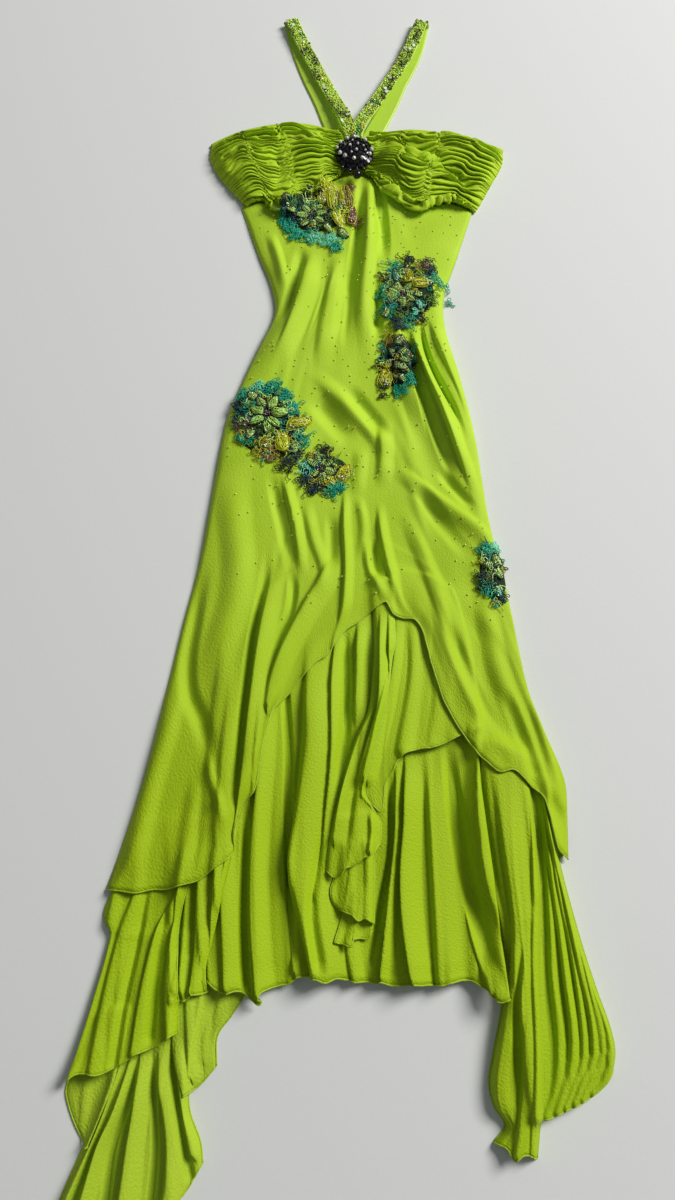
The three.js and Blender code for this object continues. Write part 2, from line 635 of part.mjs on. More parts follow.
/** A square grid drawn round: rows of [x, y] within a circle of radius 1. */
function disc(cells) {
  const steps = Array.from({ length: cells + 1 }, (_, i) => (2 * i) / cells - 1);
  return steps.map((v) => steps.map((u) => [u * Math.sqrt(1 - (v * v) / 2), -v * Math.sqrt(1 - (u * u) / 2)]));
}

/** A padded patch of embroidery with a lobed outline, laid on the cloth. */
function layPatch({ name, x, y, halfWide, halfLong, turn, lobe }) {
  const angle = THREE.MathUtils.degToRad(turn);
  const outline = disc(PATCH.cells).map((row) =>
    row.map(([u, v]) => {
      const lobed = 1 + lobe * Math.cos(PATCH.lobes * Math.atan2(v, u) + 1) * Math.hypot(u, v);
      const [px, py] = [halfWide * u * lobed, halfLong * v * lobed];
      return [x + px * Math.cos(angle) - py * Math.sin(angle), y + px * Math.sin(angle) + py * Math.cos(angle)];
    }),
  );
  const half = PATCH.cells / 2;
  const outwards = (j, i) => Math.max(Math.abs(j - half), Math.abs(i - half)) / half;
  const thick = (j, i) => mix(PATCH.thick, PATCH.edge, outwards(j, i));
  return layWall(name, settled(outline), thick, EMBROIDERY);
}

/** A three.js geometry as a manifold-3d solid. */
function solid(geometry) {
  const points = geometry.getAttribute("position");
  const corners = geometry.index ? geometry.index.array : [...Array(points.count).keys()];
  const seen = new Map();
  const vertices = [];
  const shared = []; // for each point, the one vertex that stands for all the points at its place
  for (let i = 0; i < points.count; i++) {
    const place = [points.getX(i), points.getY(i), points.getZ(i)];
    const key = place.map((value) => Math.round(value * 1e4)).join();
    if (!seen.has(key)) {
      seen.set(key, vertices.length / 3);
      vertices.push(...place);
    }
    shared.push(seen.get(key));
  }
  const triVerts = [];
  for (let t = 0; t < corners.length; t += 3) {
    const [a, b, c] = [shared[corners[t]], shared[corners[t + 1]], shared[corners[t + 2]]];
    if (a !== b && b !== c && a !== c) triVerts.push(a, b, c);
  }
  const vertProperties = new Float32Array(vertices);
  return new wasm.Manifold(new wasm.Mesh({ numProp: 3, vertProperties, triVerts: new Uint32Array(triVerts) }));
}

/** A manifold-3d solid as a three.js geometry. */
function geometryOf(made) {
  const { vertProperties, triVerts } = made.getMesh();
  const geometry = new THREE.BufferGeometry();
  geometry.setAttribute("position", new THREE.Float32BufferAttribute(vertProperties, 3));
  geometry.setIndex([...triVerts]);
  geometry.computeVertexNormals();
  return geometry;
}

/** The brooch: a domed setting with a ring of pearls and a short drop, in one piece. */
function layBrooch() {
  const { radius, base, dome: rise, foot } = BROOCH;
  const floor = restAt(0, BROOCH.y, BROOCH.seat) - BROOCH.sunk; // its foot sits in among the pleats
  const profile = [[0, 0], [radius - foot, 0], [radius, base * 0.6], [radius - foot / 2, base],
    [radius * 0.6, base + rise * 0.75], [0, base + rise]];
  const dome = new THREE.LatheGeometry(profile.map(([r, z]) => new THREE.Vector2(r, z)), BROOCH.facets);
  dome.rotateX(Math.PI / 2);
  let made = solid(dome);
  const ball = (size, x, y, z) => {
    const sphere = new THREE.IcosahedronGeometry(size, 1);
    sphere.translate(x, y, z);
    made = made.add(solid(sphere));
  };
  const out = radius - PEARLS.inset;
  for (let i = 0; i < PEARLS.count; i++) {
    const around = (2 * Math.PI * i) / PEARLS.count;
    ball(PEARLS.radius, out * Math.cos(around), out * Math.sin(around), base + PEARLS.rise);
  }
  ball(PEARLS.radius, 0, 0, base + rise);
  for (const [x, y] of DROPS.at) ball(DROPS.radius, x, y - radius, base + DROPS.rise);
  const geometry = geometryOf(made);
  geometry.translate(0, BROOCH.y, floor);
  return mesh("brooch", geometry, JET);
}

/** A named mesh of the dress. */
function mesh(name, geometry, material) {
  const made = new THREE.Mesh(geometry, material);
  made.name = name;
  return made;
}

// ---------------------------------------------------------------------------------------------------------
// The dress, laid down piece by piece from the surface up
const dress = new THREE.Group();
for (const panel of PANELS) dress.add(layPanel(panel));
for (const strap of STRAPS) dress.add(layStrap(strap));
for (const cup of CUPS) dress.add(layCup(cup));
dress.add(layBrooch());
for (const patch of named(PATCH_COLUMNS, PATCHES)) dress.add(layPatch(patch));

const box = new THREE.Box3().setFromObject(dress);
const centre = box.getCenter(new THREE.Vector3());
dress.position.set(-centre.x, -centre.y, -box.min.z);

export default dress;
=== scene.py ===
"""A halter evening dress in lime chiffon, laid flat on its back, dressed for the render.

Every length in the tables is in millimetres, drawn from a point on the dress's centre line just above the brooch,
with +Y towards the neck, +X to the right of someone who looks down at the front, and +Z up from the surface. A curve
is a row of numbers, x and y by turns. The pieces are laid on a pile from the surface up, as the cloth was, so that
each one rests on what lies below it.
"""

import logging
import math
from dataclasses import dataclass
from enum import Enum
from functools import cached_property
from typing import Callable, Sequence

import bmesh
import bpy
import numpy as np
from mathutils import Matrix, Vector


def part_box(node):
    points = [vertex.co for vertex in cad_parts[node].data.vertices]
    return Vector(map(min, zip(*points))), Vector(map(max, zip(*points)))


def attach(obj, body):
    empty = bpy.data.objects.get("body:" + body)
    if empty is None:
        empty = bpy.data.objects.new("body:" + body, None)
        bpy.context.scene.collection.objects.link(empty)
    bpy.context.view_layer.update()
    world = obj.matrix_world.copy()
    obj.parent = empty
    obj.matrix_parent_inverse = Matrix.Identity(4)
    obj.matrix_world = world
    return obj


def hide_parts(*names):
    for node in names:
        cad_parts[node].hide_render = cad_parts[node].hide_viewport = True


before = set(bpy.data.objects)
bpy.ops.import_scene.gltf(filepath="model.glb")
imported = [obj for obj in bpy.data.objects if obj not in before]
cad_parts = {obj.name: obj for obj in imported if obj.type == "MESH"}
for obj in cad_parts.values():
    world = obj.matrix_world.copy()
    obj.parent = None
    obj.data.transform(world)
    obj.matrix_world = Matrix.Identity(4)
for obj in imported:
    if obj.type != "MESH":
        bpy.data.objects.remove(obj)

LOG = logging.getLogger("dress")
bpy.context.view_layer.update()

MM = 0.001  # metres in a millimetre
CLOTH = 0.8  # thickness of a chiffon panel with its lining
GAP = 0.4  # air between two layers
HEM_RADIUS = 0.95  # rolled hem
BROOCH_TOP = 7.0  # how far the brooch reaches above the point that the dress is drawn from
BODY = "root"
FULL_TURN = 2 * math.pi
UP = (0, 0, 1)

Array = np.ndarray
Point = tuple[float, float]
Curve = tuple[float, ...]
Chance = np.random.Generator


# --- Small maths ---


def mix(a: float | Array, b: float | Array, share: float | Array) -> float | Array:
    """The value a share of the way from a to b."""
    return a + (b - a) * share


def smooth(share: Array) -> Array:
    """A share of 0 to 1, eased at both ends."""
    share = np.clip(share, 0, 1)
    return share * share * (3 - 2 * share)


def arch(share: Array) -> Array:
    """The height of a half round of radius 1, at shares of its radius."""
    return np.sqrt(np.clip(1 - np.asarray(share) ** 2, 0, 1))


def shoulder(share: Array) -> Array:
    """A quarter round that climbs steeply from 0 and levels off at 1."""
    return np.sqrt(1 - (1 - np.clip(share, 0, 1)) ** 2)


def unit(vectors: Array) -> Array:
    """Vectors of length 1 in the same directions."""
    return vectors / np.maximum(np.linalg.norm(vectors, axis=-1, keepdims=True), 1e-9)


def cleared(heights: Array) -> Array:
    """Heights with a gap of air above the cloth below, and none on the bare surface."""
    return heights + GAP * smooth(heights / GAP)


def normals(grid: Array) -> Array:
    """The upward normals of a grid of points."""
    across, down = np.gradient(grid, axis=1), np.gradient(grid, axis=0)
    return unit(np.cross(down, across))


def stepped(x: float, y: float, heading: float, along: float | Array, side: float | Array = 0.0) -> Point:
    """A place in the plan, reached from another one.

    Args:
        x, y: where the step starts.
        heading: which way is along, in radians from +X.
        along, side: how far it goes that way and to the left of it.

    Returns:
        Its x and y.
    """
    cos, sin = math.cos(heading), math.sin(heading)
    return x + along * cos - side * sin, y + along * sin + side * cos


class Line:
    """A smooth open line through a few points of the plan, read by its share of the length."""

    SAMPLES = 24  # straight steps in each span

    def __init__(self, curve: Curve) -> None:
        """Fits the line.

        Args:
            curve: what the line passes through, in order.
        """
        known = np.array(curve, dtype=float).reshape(-1, 2)
        padded = np.vstack([2 * known[0] - known[1], known, 2 * known[-1] - known[-2]])
        parts = [self._span(*padded[i : i + 4]) for i in range(len(known) - 1)]
        self.points = np.vstack([*parts, known[-1:]])
        steps = np.linalg.norm(np.diff(self.points, axis=0), axis=1)
        self.place = np.concatenate([[0], np.cumsum(steps)])
        self.length = float(self.place[-1])

    def _span(self, p0: Array, p1: Array, p2: Array, p3: Array) -> Array:
        """One span of a centripetal spline.

        Args:
            p0, p1, p2, p3: four points in a row, of which the span joins the middle two.

        Returns:
            Its points from p1 on, without p2.
        """
        chords = ((p0, p1), (p1, p2), (p2, p3))
        t0, t1, t2, t3 = np.cumsum([0, *(max(np.linalg.norm(b - a), 1e-6) ** 0.5 for a, b in chords)])
        t = np.linspace(t1, t2, self.SAMPLES, endpoint=False)[:, None]
        a1 = mix(p0, p1, (t - t0) / (t1 - t0))
        a2 = mix(p1, p2, (t - t1) / (t2 - t1))
        a3 = mix(p2, p3, (t - t2) / (t3 - t2))
        b1 = mix(a1, a2, (t - t0) / (t2 - t0))
        b2 = mix(a2, a3, (t - t1) / (t3 - t1))
        return mix(b1, b2, (t - t1) / (t2 - t1))

    def at(self, share: Array) -> Array:
        """Points at shares of the length, as rows of (x, y)."""
        place = np.clip(share, 0, 1) * self.length
        return np.stack([np.interp(place, self.place, self.points[:, axis]) for axis in (0, 1)], axis=-1)


def between(edges: Sequence[Line], columns: int, rows: int) -> tuple[Array, Array, Array]:
    """Points spread evenly between four edges.

    Args:
        edges: left, top, right and hem, the sides from the top down and the others from the left across.
        columns, rows: how many points there are across and down.

    Returns:
        The points, (rows, columns, 2), and the shares across and down of each.
    """
    left, top, right, hem = edges
    u, v = np.meshgrid(np.linspace(0, 1, columns), np.linspace(0, 1, rows))
    across, down = u[..., None], v[..., None]
    beside = [line.at(v[:, 0])[:, None] for line in (left, right)]
    above, below = (line.at(u[0])[None] for line in (top, hem))
    corners = mix(mix(above[:, :1], above[:, -1:], across), mix(below[:, :1], below[:, -1:], across), down)
    return mix(above, below, down) + mix(*beside, across) - corners, u, v


def cloth_coords(grid: Array) -> Array:
    """Lengths along the cloth.

    Args:
        grid: its points, (rows, columns, 3).

    Returns:
        How far each is across from its middle and down from its top, (rows, columns, 2).
    """
    across = np.linalg.norm(np.diff(grid, axis=1, prepend=grid[:, :1]), axis=-1).cumsum(axis=1)
    down = np.linalg.norm(np.diff(grid, axis=0, prepend=grid[:1]), axis=-1).cumsum(axis=0)
    middle = slice(grid.shape[1] // 2, grid.shape[1] // 2 + 1)
    return np.stack([across - across[:, middle], np.broadcast_to(down[:, middle], down.shape)], axis=-1)


class Noise:
    """Smooth noise over a plane, from -1 to 1, the same on each run."""

    SIZE = 128  # cells after which it repeats

    def __init__(self, seed: int) -> None:
        """Draws the values at the corners of its cells, from a seed."""
        self.table = np.random.default_rng(seed).uniform(-1, 1, (self.SIZE, self.SIZE))

    def at(self, x: Array, y: Array) -> Array:
        """The noise at places.

        Args:
            x, y: the places, counted in cells.

        Returns:
            Its value at each.
        """
        column, row = np.floor(x).astype(int), np.floor(y).astype(int)
        u, v = smooth(x - column), smooth(y - row)
        near, far = (
            mix(*(self.table[(row + j) % self.SIZE, (column + i) % self.SIZE] for i in (0, 1)), u) for j in (0, 1)
        )
        return mix(near, far, v)


# --- Folds, ripples and hems of a panel ---


@dataclass(frozen=True)
class Fold:
    """One ridge of the cloth, or with negative heights one trough, along a spine.

    high and wide are its height and half-width at its start and end. lean above 0 makes the side to the right of
    the spine, seen from its start, the steep one, and leans the ridge over it. crisp 1 gives a round back with
    sharp feet, and -1 a sharp crest. stay is the share of its height that is left where it ends.
    """

    spine: Curve
    high: Point
    wide: Point
    lean: float = 0.0
    crisp: float = 0.0
    stay: float = 0.0

    STEPS = 20  # straight steps of its spine
    REACH = 1.8  # how far out it is worked out, in half-widths
    SKEW = 0.7  # how much a lean widens one side and narrows the other
    OVERHANG = 0.75  # how far a leaning crest reaches over, for its height
    RISE, SINK = 0.30, 0.34  # shares of its length in which it comes up and dies away
    SOFT, ROUND, CREST = 2.0, 1.4, 1.6  # powers of its outline: a soft one, what crisp takes off, and a sharp crest

    def lift(self, x: Array, y: Array) -> tuple[Array, Array, Array]:
        """How the fold moves the cloth.

        Args:
            x, y: places in the plan.

        Returns:
            The height it adds, and how far it moves the cloth along X and along Y.
        """
        steps = Line(self.spine).at(np.linspace(0, 1, self.STEPS + 1))
        reach = self.REACH * max(self.wide)
        low, high = steps.min(axis=0) - reach, steps.max(axis=0) + reach
        near = (x > low[0]) & (x < high[0]) & (y > low[1]) & (y < high[1])
        px, py = x[near], y[near]
        best = np.full(px.shape, np.inf)
        place, side, right_x, right_y = (np.zeros(px.shape) for _ in range(4))
        for i, (start, end) in enumerate(zip(steps[:-1], steps[1:])):
            dx, dy = end - start
            length = math.hypot(dx, dy)
            share = np.clip(((px - start[0]) * dx + (py - start[1]) * dy) / length**2, 0, 1)
            away = np.hypot(px - start[0] - dx * share, py - start[1] - dy * share)
            closer = away < best
            best = np.where(closer, away, best)
            place = np.where(closer, (i + share) / self.STEPS, place)
            side = np.where(closer, np.sign(dx * (py - start[1]) - dy * (px - start[0])), side)
            right_x = np.where(closer, dy / length, right_x)
            right_y = np.where(closer, -dx / length, right_y)
        wide = mix(self.wide[0], self.wide[1], place) * (1 + self.SKEW * self.lean * side)
        across = np.clip(best / wide, 0, 1)
        if self.crisp >= 0:
            profile = (1 - across**2) ** (self.SOFT - self.ROUND * self.crisp)
        else:
            profile = mix((1 - across**2) ** self.SOFT, (1 - across) ** self.CREST, -self.crisp)
        ends = smooth(place / self.RISE) * mix(self.stay, 1, smooth((1 - place) / self.SINK))
        height = mix(self.high[0], self.high[1], place) * profile * ends
        over = self.lean * self.OVERHANG * np.abs(height)
        moved = np.zeros((3, *x.shape))
        moved[:, near] = height, over * right_x, over * right_y
        return moved[0], moved[1], moved[2]


@dataclass(frozen=True)
class Ripple:
    """Many uneven small folds that run down a panel.

    count is how many cells of noise lie across it, along their length, and high their height at its top and hem.
    """

    count: float
    along: float
    high: Point
    seed: int

    DRIFT = 0.6  # how far they wander sideways, in cells
    SLOW = (0.4, 1.7)  # cells of that wander across each of theirs, and its length for theirs
    SHARP = 1.6  # how narrow their crests are

    def lift(self, u: Array, v: Array, length: float) -> Array:
        """The height that it adds.

        Args:
            u, v: shares across and down.
            length: the panel's length.

        Returns:
            The height at each place.
        """
        slow = Noise(self.seed + 1).at(u * self.count * self.SLOW[0], v * length / (self.SLOW[1] * self.along))
        value = Noise(self.seed).at(u * self.count + self.DRIFT * slow, v * length / self.along)
        return mix(self.high[0], self.high[1], v) * np.clip(1 - value**2, 0, 1) ** self.SHARP


@dataclass(frozen=True)
class HemWave:
    """The flutter of a free hem: its height, its pitch along the hem and how far up it reaches."""

    high: float
    pitch: float
    reach: float
    seed: int
    jog: float = 1.6

    def lift(self, u: Array, v: Array, width: float, length: float) -> tuple[Array, Array]:
        """How it moves the cloth.

        Args:
            u, v: shares across and down.
            width, length: the panel's size.

        Returns:
            The height it adds, and how far it moves the cloth along Y.
        """
        near = np.exp(-(1 - v) * length / self.reach)
        value = Noise(self.seed).at(u * width / self.pitch, 0.3 + 0 * v)
        along = Noise(self.seed + 1).at(u * width / (0.7 * self.pitch), 0.6 + 0 * v)
        return self.high * np.clip(value + 0.25, 0, 1) * near, self.jog * along * near**2


# --- The pile of cloth laid so far ---


class Pile:
    """How high the cloth laid so far stands over each cell of the surface, in millimetres."""

    CELL = 1.5
    LEFT, RIGHT, LOW, HIGH = -350.0, 300.0, -1420.0, 300.0
    FINER = 3  # steps that each one of a grid is cut into, so that no cell is missed
    REACHES = (1, 2, 4, 8)  # cells over which a cloth comes down off an edge, one after another

    def __init__(self) -> None:
        """Starts with the bare surface."""
        self.columns = int((self.RIGHT - self.LEFT) / self.CELL)
        self.rows = int((self.HIGH - self.LOW) / self.CELL)
        self.height = np.zeros((self.rows, self.columns))

    def lay(self, grid: Array) -> None:
        """Raises the pile to a surface.

        Args:
            grid: its points, (rows, columns, 3).
        """
        fine = self._refine(self._refine(grid, 0), 1)
        column = np.clip(((fine[..., 0] - self.LEFT) / self.CELL).astype(int), 0, self.columns - 1)
        row = np.clip(((fine[..., 1] - self.LOW) / self.CELL).astype(int), 0, self.rows - 1)
        np.maximum.at(self.height, (row.ravel(), column.ravel()), fine[..., 2].ravel())

    def _refine(self, grid: Array, axis: int) -> Array:
        """Cuts each step of a grid finer.

        Args:
            grid: its points.
            axis: the axis along which it is cut.

        Returns:
            The finer grid.
        """
        grid = np.moveaxis(grid, axis, 0)
        parts = [mix(grid[:-1], grid[1:], k / self.FINER) for k in range(self.FINER)]
        fine = np.stack(parts, axis=1).reshape(-1, *grid.shape[1:])
        return np.moveaxis(np.concatenate([fine, grid[-1:]]), 0, axis)

    @staticmethod
    def _highest(height: Array, reach: int) -> Array:
        """The highest value near each cell.

        Args:
            height: the values.
            reach: how many cells count as near, each way.

        Returns:
            The highest ones.
        """
        window = 2 * reach + 1
        for axis in (0, 1):
            size = 1
            while size < window:
                step = min(size, window - size)
                height = np.maximum(height, np.roll(height, step, axis))
                size += step
            height = np.roll(height, -reach, axis)
        return height

    @staticmethod
    def _blur(height: Array, spread: float) -> Array:
        """Heights rounded off.

        Args:
            height: the heights.
            spread: that of the bell over which they are averaged, in cells.

        Returns:
            The averages.
        """
        reach = int(3 * spread) + 1
        weights = np.exp(-0.5 * (np.arange(-reach, reach + 1) / spread) ** 2)
        weights /= weights.sum()
        for axis in (0, 1):
            height = sum(w * np.roll(height, k - reach, axis) for k, w in enumerate(weights))
        return height

    def support(self, bridge: float, blur: float, fall: float) -> Array:
        """The form that a cloth takes over the pile.

        Args:
            bridge: how wide a hollow the cloth spans, in millimetres.
            blur: how far it rounds off what lies under it.
            fall: the steepest slope at which it comes down off an edge.

        Returns:
            Its heights over the cells, nowhere below the pile.
        """
        reach = max(1, int(bridge / 2 / self.CELL))
        spanned = -self._highest(-self._highest(self.height, reach), reach)
        for step in self.REACHES:
            for axis in (0, 1):
                for way in (step, -step):
                    spanned = np.maximum(spanned, np.roll(spanned, way, axis) - fall * step * self.CELL)
        form = self._blur(spanned, blur / self.CELL)
        return np.maximum(form, self._highest(self.height, 1))

    def read(self, heights: Array, x: Array, y: Array) -> Array:
        """Heights at places of the plan.

        Args:
            heights: the heights over the cells.
            x, y: the places.

        Returns:
            The height at each place.
        """
        column = np.clip((x - self.LEFT) / self.CELL - 0.5, 0, self.columns - 1.001)
        row = np.clip((y - self.LOW) / self.CELL - 0.5, 0, self.rows - 1.001)
        c, r = column.astype(int), row.astype(int)
        near, far = (mix(heights[r + j, c], heights[r + j, c + 1], column - c) for j in (0, 1))
        return mix(near, far, row - r)


# --- Meshes ---


class Shape:
    """The points, faces, surface coordinates and finishes of one piece, as it is put together."""

    def __init__(self) -> None:
        """Starts empty."""
        self.points: list[Array] = []
        self.coords: list[Array] = []
        self.faces: list[Array] = []
        self.finishes: list[Array] = []
        self.rounded: list[Array] = []
        self.count = 0

    def add(self, points: Array, faces: Array, coords: Array, finish: int = 0) -> None:
        """Adds a surface.

        Args:
            points: rows of (x, y, z), in millimetres.
            faces: rows of 3 or 4 indices into points.
            coords: rows of (u, v) in millimetres, for patterns that follow the surface.
            finish: which of the piece's finishes it has.
        """
        self.points.append(points)
        self.coords.append(coords)
        self.faces.extend(np.asarray(face) + self.count for face in faces)
        self.finishes.append(np.full(len(faces), finish))
        self.rounded.append(np.full(len(faces), True))
        self.count += len(points)

    @staticmethod
    def grid_faces(rows: int, columns: int, around: bool = False) -> Array:
        """The faces of a grid of points.

        Args:
            rows, columns: its size.
            around: whether it closes on itself across its columns.

        Returns:
            Rows of 4 indices.
        """
        spans = columns if around else columns - 1
        j, i = np.meshgrid(np.arange(rows - 1), np.arange(spans), indexing="ij")
        k = (i + 1) % columns
        faces = np.stack([j * columns + i, (j + 1) * columns + i, (j + 1) * columns + k, j * columns + k], axis=-1)
        return faces.reshape(-1, 4)

    def add_shell(self, upper: Array, lower: Array, coords: Array) -> None:
        """Adds a closed wall.

        Args:
            upper, lower: grids of points, (rows, columns, 3), of its two sides.
            coords: their places on the cloth, (rows, columns, 2).
        """
        rows, columns = upper.shape[:2]
        top = self.grid_faces(rows, columns)
        size = rows * columns
        rim = np.concatenate([
            np.arange(columns),
            np.arange(1, rows) * columns + columns - 1,
            (rows - 1) * columns + np.arange(columns - 2, -1, -1),
            np.arange(rows - 2, 0, -1) * columns,
        ])
        after = np.roll(rim, -1)
        sides = np.stack([rim, after, after + size, rim + size], axis=-1)
        points = np.concatenate([upper.reshape(-1, 3), lower.reshape(-1, 3)])
        self.add(points, np.concatenate([top, top[:, ::-1] + size, sides]), np.tile(coords.reshape(-1, 2), (2, 1)))

    def add_tube(self, path: Array, radius: float, sides: int = 6, finish: int = 0) -> None:
        """Adds a closed round tube.

        Args:
            path: the points that it follows.
            radius: half its thickness.
            sides: how many it has.
            finish: which of the piece's finishes it has.
        """
        along = unit(np.gradient(path, axis=0))
        side = unit(np.cross(along, np.array(UP, dtype=float) + 1e-3))  # a path straight up has a side too
        over = np.cross(side, along)
        angle = np.linspace(0, FULL_TURN, sides, endpoint=False)[None, :, None]
        rings = path[:, None] + radius * (side[:, None] * np.cos(angle) + over[:, None] * np.sin(angle))
        body = self.grid_faces(len(path), sides, around=True)
        fan = np.array([[0, i, i + 1] for i in range(1, sides - 1)])
        last = (len(path) - 1) * sides
        place = np.linalg.norm(path - path[0], axis=1)
        coords = np.stack([np.repeat(place, sides), np.tile(np.arange(sides) * radius, len(path))], axis=-1)
        self.add(rings.reshape(-1, 3), [*body, *fan, *(fan[:, ::-1] + last)], coords, finish)

    def add_copies(self, template: "Template", places: Sequence[Array], finish: int = 0) -> None:
        """Adds copies of a template.

        Args:
            template: the form.
            places: a matrix of 3 rows and 4 columns for each copy.
            finish: which of the piece's finishes they have.
        """
        places = np.array(places)
        points = np.einsum("nij,kj->nki", places[:, :, :3], template.points) + places[:, None, :, 3]
        per, faces = len(template.points), len(template.faces) * len(places)
        for i in range(len(places)):
            self.faces.extend(face + self.count + i * per for face in template.faces)
        self.points.append(points.reshape(-1, 3))
        self.coords.append(np.zeros((per * len(places), 2)))
        self.finishes.append(np.full(faces, finish))
        self.rounded.append(np.full(faces, template.rounded))
        self.count += per * len(places)


@dataclass
class Template:
    """A small form that is modelled once and copied: its points, to its own radius, its faces and their shading."""

    points: Array
    faces: list[Array]
    rounded: bool

    @classmethod
    def taken(cls, thing: bpy.types.Object, rounded: bool) -> "Template":
        """The form of a modelled object, which is then removed.

        Its points and faces are put in order of place, because the modelling steps leave them in any order.

        Args:
            thing: the object.
            rounded: whether its faces are shaded smooth.

        Returns:
            Its form.
        """
        mesh = thing.data
        points = np.array([vertex.co[:] for vertex in mesh.vertices])
        order = np.lexsort(points.round(5).T)
        rank = np.argsort(order)
        faces = sorted((rank[list(polygon.vertices)] for polygon in mesh.polygons), key=sorted)
        bpy.data.objects.remove(thing)
        bpy.data.meshes.remove(mesh)
        return cls(points[order], faces, rounded)


def placed(centre: Sequence[float], size: Sequence[float], across: Sequence[float], up: Sequence[float]) -> Array:
    """Where a copy of a template goes.

    Args:
        centre: the place of its middle.
        size: what its X, Y and Z are scaled by.
        across, up: which ways its X and its Z then point.

    Returns:
        A matrix of 3 rows and 4 columns.
    """
    z = unit(np.asarray(up, dtype=float))
    x = unit(np.asarray(across, dtype=float) - z * np.dot(across, z))
    y = np.cross(z, x)
    return np.column_stack([x * size[0], y * size[1], z * size[2], centre])


def tumbled(centre: Sequence[float], radius: float, chance: Chance, tilt: float = 0.7) -> Array:
    """Where a copy goes that is tilted and turned by chance.

    Args:
        centre: the place of its middle.
        radius: what it is scaled by.
        chance: where the tilt and the turn are drawn from.
        tilt: how strongly it tilts.

    Returns:
        A matrix of 3 rows and 4 columns.
    """
    up = np.array([*chance.normal(0, tilt, 2), 1.0])
    turn = chance.uniform(0, FULL_TURN)
    return placed(centre, np.full(3, radius), np.array([math.cos(turn), math.sin(turn), 0.2]), up)


class Workshop:
    """Makes finished pieces of shapes, in metres, in the frame of the CAD model."""

    def __init__(self) -> None:
        """Finds the point that the dress is drawn from, by the brooch, and makes the finishes and the templates."""
        low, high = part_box("brooch")
        self.datum = np.array([(low[0] + high[0]) / 2, high[1] - BROOCH_TOP * MM, 0.0])
        self.dye = {finish.name: finish.make() for finish in (CHIFFON, CHIFFON_SINGLE, RUCHED, SATIN, HEM, *NOTIONS)}
        self.bench = Bench()
        self.pile = Pile()

    @cached_property
    def form(self) -> Array:
        """The form of the finished pile, taken when the first patch is sewn on."""
        return self.pile.support(bridge=6, blur=1.5, fall=1.5)

    def over(self, x: Array, y: Array) -> Array:
        """The heights of the finished pile at places of the plan."""
        return self.pile.read(self.form, x, y)

    def height(self, x: float, y: float) -> float:
        """The height of the finished pile at one place of the plan."""
        return float(self.over(np.array([x]), np.array([y]))[0])

    def piece(
        self,
        name: str,
        shape: Shape,
        finishes: Sequence[str],
        nodes: Sequence[str] = (),
    ) -> bpy.types.Object:
        """Makes one piece.

        Args:
            name: the piece's name.
            shape: its form.
            finishes: their names, in the order that the shape counts them.
            nodes: the CAD nodes that it stands for.

        Returns:
            The object.
        """
        mesh = bpy.data.meshes.new(name)
        points = np.concatenate(shape.points) * MM + self.datum
        mesh.from_pydata(points.tolist(), [], [face.tolist() for face in shape.faces])
        coords = np.concatenate(shape.coords)
        corners = np.empty(len(mesh.loops), dtype=np.int32)
        mesh.loops.foreach_get("vertex_index", corners)
        layer = mesh.uv_layers.new(name="cloth")
        layer.data.foreach_set("uv", (coords[corners] * MM).astype(np.float32).ravel())
        mesh.polygons.foreach_set("use_smooth", np.concatenate(shape.rounded))
        for finish in finishes:
            mesh.materials.append(self.dye[finish])
        mesh.polygons.foreach_set("material_index", np.concatenate(shape.finishes).astype(np.int32))
        mesh.update()
        thing = bpy.data.objects.new(name, mesh)
        bpy.context.scene.collection.objects.link(thing)
        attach(thing, BODY)
        if nodes:
            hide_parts(*nodes)
        LOG.info("%s: %d faces", name, len(mesh.polygons))
        return thing


# --- Finishes ---


def linear(colour: str) -> tuple[float, float, float, float]:
    """A colour in the form that a shader takes.

    Args:
        colour: its sRGB hex value.

    Returns:
        Linear red, green, blue and alpha.
    """
    parts = [int(colour[i : i + 2], 16) / 255 for i in (1, 3, 5)]
    red, green, blue = (c / 12.92 if c <= 0.04045 else ((c + 0.055) / 1.055) ** 2.4 for c in parts)
    return red, green, blue, 1.0


def add_node(
    tree: bpy.types.NodeTree, kind: str, settings: dict[str | int, object] | None = None, **links: object
) -> bpy.types.Node:
    """Adds a node.

    Args:
        tree: where it goes.
        kind: its type.
        settings: values of its properties, or of its inputs by their name or number.
        links: for each input, with _ in place of spaces or before its number, the output that feeds it.

    Returns:
        The node.
    """
    node = tree.nodes.new(kind)
    for key, value in (settings or {}).items():
        if isinstance(key, str) and hasattr(node, key):
            setattr(node, key, value)
        else:
            node.inputs[key].default_value = value
    for key, output in links.items():
        name = key.replace("_", " ")
        tree.links.new(output, node.inputs[int(name[1:])] if name[1:].isdigit() else node.inputs[name])
    return node


